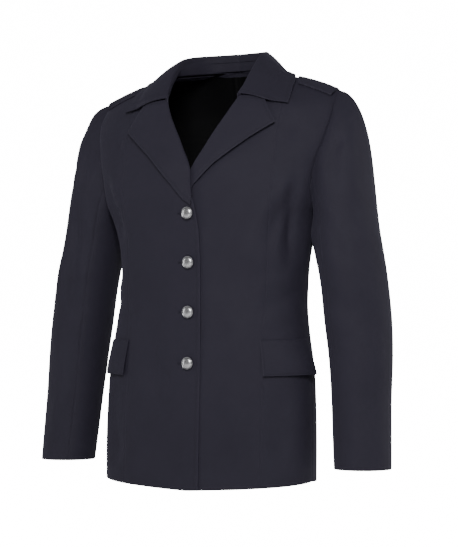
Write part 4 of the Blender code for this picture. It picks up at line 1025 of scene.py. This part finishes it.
nape, armhole_foot, neck_head = back_knots[NAPE_LEVEL], back_knots[ARMHOLE_START], back_knots[-1] - SEAM_GAP
q = np.linspace(-1.0, 1.0, 2 * NECK_COLUMNS + 1)
part = np.abs(q)
up_neck = nape + (neck_head - nape) * part
neck_line = np.stack([np.full_like(part, NECK_EDGE), up_neck - NECK_EDGE * LEVEL_LENGTH], axis=-1)
edge = np.asarray(NECK_FACING_EDGE)
edge = monotone_curve(edge[:, 0], edge[:, 1:], part)
facing_line = np.stack([edge[:, 0], up_neck - edge[:, 1]], axis=-1)
up_armhole = armhole_foot + (neck_head - armhole_foot) * np.maximum(2.0 * part - 1.0, 0.0)
armhole_line = np.stack([LINING_REACH * np.minimum(2.0 * part, 1.0), up_armhole], axis=-1)
for name, finish, low, high, first_part, rows in (
        ("back_neck_facing", navy_wool, neck_line, facing_line, 0.0, 16),
        ("back_lining", black_satin, facing_line, armhole_line, LINING_STEP / LEVEL_LENGTH, 70)):
    down = first_part + (1.0 - first_part) * close_to_edges(rows, 0.01, 0.01)[:, None, None]
    across, along = np.moveaxis(low + (high - low) * down, -1, 0)
    across = across * np.where(q < 0.0, -1.0, 1.0)
    across[:, NECK_COLUMNS] = 0.0
    depth = LINING_EASE + CLOTH + 0.0 * across
    if name == "back_lining":
        from_centre = back_inside(across, along, depth)[..., 0]
        pleat = PLEAT_HEIGHT * np.exp(-((np.abs(from_centre) - PLEAT_WIDTH) / PLEAT_SOFTNESS) ** 2)
        depth = depth + pleat + LINING_WAVE * (1.0 + np.sin(from_centre * 75.0 + along * 24.0))
        under_arm = np.exp(-((along - armhole_foot) / 0.035) ** 2) * smoothstep(0.30, 0.70, np.abs(across))
        depth = depth + UNDERARM_EASE * under_arm
    laid = back_inside(across, along, depth)
    piece = shell(name, laid, back_inside(across, along, depth + LINING), (finish, finish),
                  ("high",) if name == "back_neck_facing" else ())
    sideways, upward = arc_lengths(laid)
    wide = float(sideways.max())
    if name == "back_lining":
        level = np.linspace(-LINING_REACH, LINING_REACH, 2 * NECK_COLUMNS + 1)[None]
        level = back_inside(level, np.full_like(level, armhole_foot),
                            np.full_like(level, LINING_EASE + CLOTH))
        wide = float(arc_lengths(level)[0].max())


# Shoulder straps: padded straps of the cloth, caught in the sleeve seam and laid along the shoulder
# seam to a point near the collar, with a row of stitches round the edge.
STRAP_LENGTH = 0.0715
STRAP_WIDTH = 0.044
STRAP_POINT = 0.28
STRAP_CLEARANCE = 0.0016
STRAP_THICKNESS = 0.0018
STRAP_OUTER_X = 0.2135
STRAP_CENTRE_Y = 0.006
STRAP_ROWS = 44
STRAP_COLUMNS = 36
STRAP_BED = 0.0002
STRAP_CROWN = 0.0005
STRAP_EDGE = (0.0009, 0.0018)

across, part = np.meshgrid(2.0 * close_to_edges(STRAP_COLUMNS, 0.012, 0.012) - 1.0,
                           close_to_edges(STRAP_ROWS, 0.010, 0.010))
x = STRAP_OUTER_X - (STRAP_LENGTH - STRAP_WIDTH * STRAP_POINT * np.abs(across)) * part
y = STRAP_CENTRE_Y + across * STRAP_WIDTH / 2
neck_x, _, neck_z, tip_x, _, tip_z = FRONT_LEVELS[-1][:6]
grid = np.stack([x, y, np.interp(x, (neck_x, tip_x), (neck_z, tip_z))], axis=-1)
laid = lay_on_body(grid, STRAP_BED + 0.0 * across)
height = STRAP_CLEARANCE + STRAP_THICKNESS - rolled(laid, ("high", "first", "last"), *STRAP_EDGE)
top_face = lay_on_body(grid, height + STRAP_CROWN * np.cos(across * np.pi / 2))
for side, mirrored in (("left", False), ("right", True)):
    piece = shell(f"{side}_shoulder_strap", top_face, laid, (navy_wool, navy_wool),
                  ("high", "first", "last"), None, mirrored)
    cut, area = cloth_cut(laid)


# Front buttons: four domed silver-plated buttons with a plain rim, each turned as one profile, sewn by
# a shank through the wearer's left front and buttoned through a worked hole in the right one. Only
# the hole's thread bead is made, and it stands for no solid.
BUTTON_RADIUS = 0.0102
BUTTON_HEIGHT = 0.0068
BUTTON_SHANK_RADIUS = 0.0036
BUTTON_SHANK_LENGTH = 0.0022
BUTTON_HEIGHTS = {"front_button_1": -0.244, "front_button_2": -0.324,
                  "front_button_3": -0.405, "front_button_4": -0.488}
BUTTON_SIDES = 72
SILVER = (0.80, 0.80, 0.82)
HOLE_LENGTH = 0.021
HOLE_WIDTH = 0.0026
HOLE_BEAD = 0.00065
HOLE_STEPS = 64
BEAD_SIDES = 8


def silver_finish(name):
    """Plated metal: bright dome, darker where the rim meets it and where polish doesn't reach."""
    finish = bpy.data.materials.new(name)
    finish.use_nodes = True
    tree = finish.node_tree
    shader = tree.nodes["Principled BSDF"]
    shader.inputs["Metallic"].default_value = 1.0
    edge_map = tree.nodes.new("ShaderNodeUVMap")
    edge_map.uv_map = "edge"
    axes = tree.nodes.new("ShaderNodeSeparateXYZ")
    tree.links.new(edge_map.outputs[0], axes.inputs[0])
    off = math(tree, "ABSOLUTE", math(tree, "SUBTRACT", axes.outputs[0], BUTTON_RADIUS * 0.86))
    groove = near(tree, off, 0.0009)
    place = tree.nodes.new("ShaderNodeTexCoord").outputs["Object"]
    brushed = place_group(tree, nap, place)
    specks = math(tree, "MULTIPLY", brushed.outputs["Fibre"], 0.10)
    tarnish = math(tree, "ADD", math(tree, "MULTIPLY", groove, 0.75), specks)
    colour = mix_colour(tree, tarnish, SILVER, (0.20, 0.20, 0.22))
    tree.links.new(colour, shader.inputs["Base Color"])
    tree.links.new(math(tree, "ADD", 0.20, math(tree, "MULTIPLY", brushed.outputs["Fibre"], 0.16)),
                   shader.inputs["Roughness"])
    return finish


silver = silver_finish("silver_plate")
rim = BUTTON_SHANK_LENGTH + 0.0011
profile = np.array([
    (0.0, 0.0), (BUTTON_SHANK_RADIUS, 0.0), (BUTTON_SHANK_RADIUS, BUTTON_SHANK_LENGTH),
    (BUTTON_RADIUS * 0.90, BUTTON_SHANK_LENGTH), (BUTTON_RADIUS * 0.97, BUTTON_SHANK_LENGTH + 0.0003),
    (BUTTON_RADIUS, rim), (BUTTON_RADIUS * 0.985, rim + 0.0007), (BUTTON_RADIUS * 0.95, rim + 0.0011),
    (BUTTON_RADIUS * 0.90, rim + 0.0011), (BUTTON_RADIUS * 0.86, rim + 0.0008),
    (BUTTON_RADIUS * 0.82, rim + 0.0011)])
dome_angle = np.linspace(0.12, np.pi / 2, 12)
dome = np.stack([BUTTON_RADIUS * 0.81 * np.cos(dome_angle),
                 rim + 0.0009 + (BUTTON_HEIGHT - rim - 0.0009) * np.sin(dome_angle)], axis=-1)
profile = np.concatenate([profile, dome[:-1], [(0.0, BUTTON_HEIGHT)]])
angle = np.linspace(0.0, 2 * np.pi, BUTTON_SIDES, endpoint=False)
sides = np.arange(BUTTON_SIDES)
lower = np.arange(len(profile) - 3)[:, None] * BUTTON_SIDES
band = np.stack([lower + sides, lower + sides + BUTTON_SIDES, lower + np.roll(sides, -1) + BUTTON_SIDES,
                 lower + np.roll(sides, -1)], axis=-1).reshape(-1, 4)
foot_at = (len(profile) - 2) * BUTTON_SIDES
last = (len(profile) - 3) * BUTTON_SIDES
button_faces = band.tolist()
after = np.roll(sides, -1)
button_faces += np.stack([np.full_like(sides, foot_at), sides, after], axis=-1).tolist()
button_faces += np.stack([last + sides, np.full_like(sides, foot_at + 1), last + after], axis=-1).tolist()
sideways = np.array([1.0, 0.0, 0.0])
bead_turn = np.linspace(0.0, 2 * np.pi, BEAD_SIDES, endpoint=False)[None, :, None]
oval = np.linspace(0.0, 2 * np.pi, HOLE_STEPS, endpoint=False)
hole_x = HOLE_LENGTH / 2 * (1.0 + np.cos(oval)) - 0.002
hole_z = HOLE_WIDTH / 2 * np.sign(np.sin(oval)) * np.abs(np.sin(oval)) ** 0.5
ring_at = np.arange(HOLE_STEPS)[:, None] * BEAD_SIDES
ring_after = np.roll(ring_at, -1, axis=0)
here = np.arange(BEAD_SIDES)
there = np.roll(here, -1)
bead_faces = np.stack([ring_at + here, ring_at + there, ring_after + there, ring_after + here], axis=-1)
bead_faces = bead_faces.reshape(-1, 4)
for name, z in BUTTON_HEIGHTS.items():
    s, t = find_on_body(FRONT_LEVELS, np.stack([hole_x, z + hole_z], axis=-1), (0, 2), (0.1, 0.5))
    way = body_normal(FRONT_LEVELS, s, t)
    line = body_point(FRONT_LEVELS, s, t)
    line = line + way * (lap_out(line) + HOLE_BEAD * 0.5)[:, None]
    along_line = unit(np.roll(line, -1, axis=0) - np.roll(line, 1, axis=0))
    beside = np.cross(way, along_line)[:, None]
    bead = line[:, None] + (beside * np.cos(bead_turn) + way[:, None] * np.sin(bead_turn)) * HOLE_BEAD
    run = np.repeat(np.arange(HOLE_STEPS) * HOLE_BEAD, BEAD_SIDES)
    bead_uv = np.stack([np.tile(here * HOLE_BEAD, HOLE_STEPS), run], axis=-1)
    far_off = np.full_like(bead_uv, 1.0)
    mesh_piece(name.replace("button", "buttonhole") + "_thread", bead.reshape(-1, 3) * (-1, 1, 1),
               bead_faces.tolist(), (navy_wool,), np.zeros(len(bead_faces)), bead_uv, far_off, ())
    s, t = find_on_body(FRONT_LEVELS, np.array([0.0, z]), (0, 2), (0.1, 0.5))
    seat = body_point(FRONT_LEVELS, s, t)
    normal = unit(body_normal(FRONT_LEVELS, s, t) * (0.0, 1.0, 1.0))
    base = seat * (0, 1, 1) + normal * (lap_out(seat) + SEAM_GAP)
    up = np.cross(sideways, normal)
    round_way = sideways * np.cos(angle)[:, None] + up * np.sin(angle)[:, None]
    rings = base + normal * profile[1:-1, 1][:, None, None] + round_way * profile[1:-1, 0][:, None, None]
    points = np.concatenate([rings.reshape(-1, 3), [base, base + normal * BUTTON_HEIGHT]])
    out = np.linalg.norm((points - base) - ((points - base) @ normal)[:, None] * normal, axis=1)
    edge_uv = np.stack([out, np.zeros_like(out)], axis=-1)
    mesh_piece(name + "_silver", points, button_faces, (silver,), np.zeros(len(button_faces)), edge_uv,
               edge_uv, (name,))


# Setting: a plain white floor and backdrop, large soft lights at both sides and in front, and the
# camera at the photograph's angle, a little below the middle of the jacket.
CAMERA_AZIMUTH = np.radians(26.5)
CAMERA_DISTANCE = 3.0
CAMERA_HEIGHT = -0.442
CAMERA_ASIDE = 0.016
CAMERA_PITCH = np.radians(1.97)
CAMERA_LENS = 117.5
BACKDROP_LIGHT = 16.0
FILL_LIGHT = 0.15
FLOOR_HEIGHT = -0.80
FLOOR_SIZE = 14.0

floor_mesh = bpy.data.meshes.new("floor")
floor_mesh.from_pydata([(-FLOOR_SIZE, -FLOOR_SIZE, FLOOR_HEIGHT), (FLOOR_SIZE, -FLOOR_SIZE, FLOOR_HEIGHT),
                        (FLOOR_SIZE, FLOOR_SIZE, FLOOR_HEIGHT), (-FLOOR_SIZE, FLOOR_SIZE, FLOOR_HEIGHT)], [],
                       [(0, 1, 2, 3)])
floor = bpy.data.objects.new("floor", floor_mesh)
bpy.context.scene.collection.objects.link(floor)
paper = bpy.data.materials.new("white_paper")
paper.use_nodes = True
tree = paper.node_tree
shader = tree.nodes["Principled BSDF"]
for label, value in (("Base Color", (0.95, 0.95, 0.95, 1.0)), ("Roughness", 0.9),
                     ("Emission Color", (1.0, 1.0, 1.0, 1.0))):
    shader.inputs[label].default_value = value
seen = tree.nodes.new("ShaderNodeLightPath").outputs["Is Camera Ray"]
tree.links.new(math(tree, "MULTIPLY", seen, BACKDROP_LIGHT), shader.inputs["Emission Strength"])
floor_mesh.materials.append(paper)

world = bpy.data.worlds.new("white_studio")
world.use_nodes = True
tree = world.node_tree
tree.nodes["Background"].inputs["Color"].default_value = (1.0, 1.0, 1.0, 1.0)
seen = tree.nodes.new("ShaderNodeLightPath").outputs["Is Camera Ray"]
seen = math(tree, "MULTIPLY", seen, BACKDROP_LIGHT - FILL_LIGHT)
tree.links.new(math(tree, "ADD", seen, FILL_LIGHT), tree.nodes["Background"].inputs["Strength"])
bpy.context.scene.world = world


def soft_light(name, azimuth, elevation, distance, size, power, aim=(0.0, 0.0, -0.35)):
    """Rectangular area light on a sphere round the jacket, turned to look at its middle."""
    light = bpy.data.lights.new(name, "AREA")
    light.shape = "RECTANGLE"
    light.size, light.size_y = size
    light.energy = power
    lamp = bpy.data.objects.new(name, light)
    bpy.context.scene.collection.objects.link(lamp)
    a, e = np.radians(azimuth), np.radians(elevation)
    back = np.array([np.sin(a) * np.cos(e), -np.cos(a) * np.cos(e), np.sin(e)])
    lamp.location = np.asarray(aim) + back * distance
    lamp.rotation_euler = (lamp.location - Vector(aim)).to_track_quat("Z", "Y").to_euler()
    return lamp


soft_light("key", 22.0, 27.0, 3.0, (1.2, 1.0), 53.0)
soft_light("left_strip", 120.0, 10.0, 2.6, (0.6, 1.8), 15.0)
soft_light("right_strip", -62.0, 10.0, 2.8, (0.6, 1.8), 9.0)

camera = bpy.data.cameras.new("camera")
camera.lens = CAMERA_LENS
camera.sensor_width = 36.0
eye = bpy.data.objects.new("camera", camera)
bpy.context.scene.collection.objects.link(eye)
sideways = np.array([np.cos(CAMERA_AZIMUTH), np.sin(CAMERA_AZIMUTH), 0.0])
away = np.array([np.sin(CAMERA_AZIMUTH), -np.cos(CAMERA_AZIMUTH), 0.0])
eye.location = sideways * CAMERA_ASIDE + away * CAMERA_DISTANCE + (0.0, 0.0, CAMERA_HEIGHT)
eye.rotation_euler = (np.pi / 2 + CAMERA_PITCH, 0.0, CAMERA_AZIMUTH)
bpy.context.scene.camera = eye
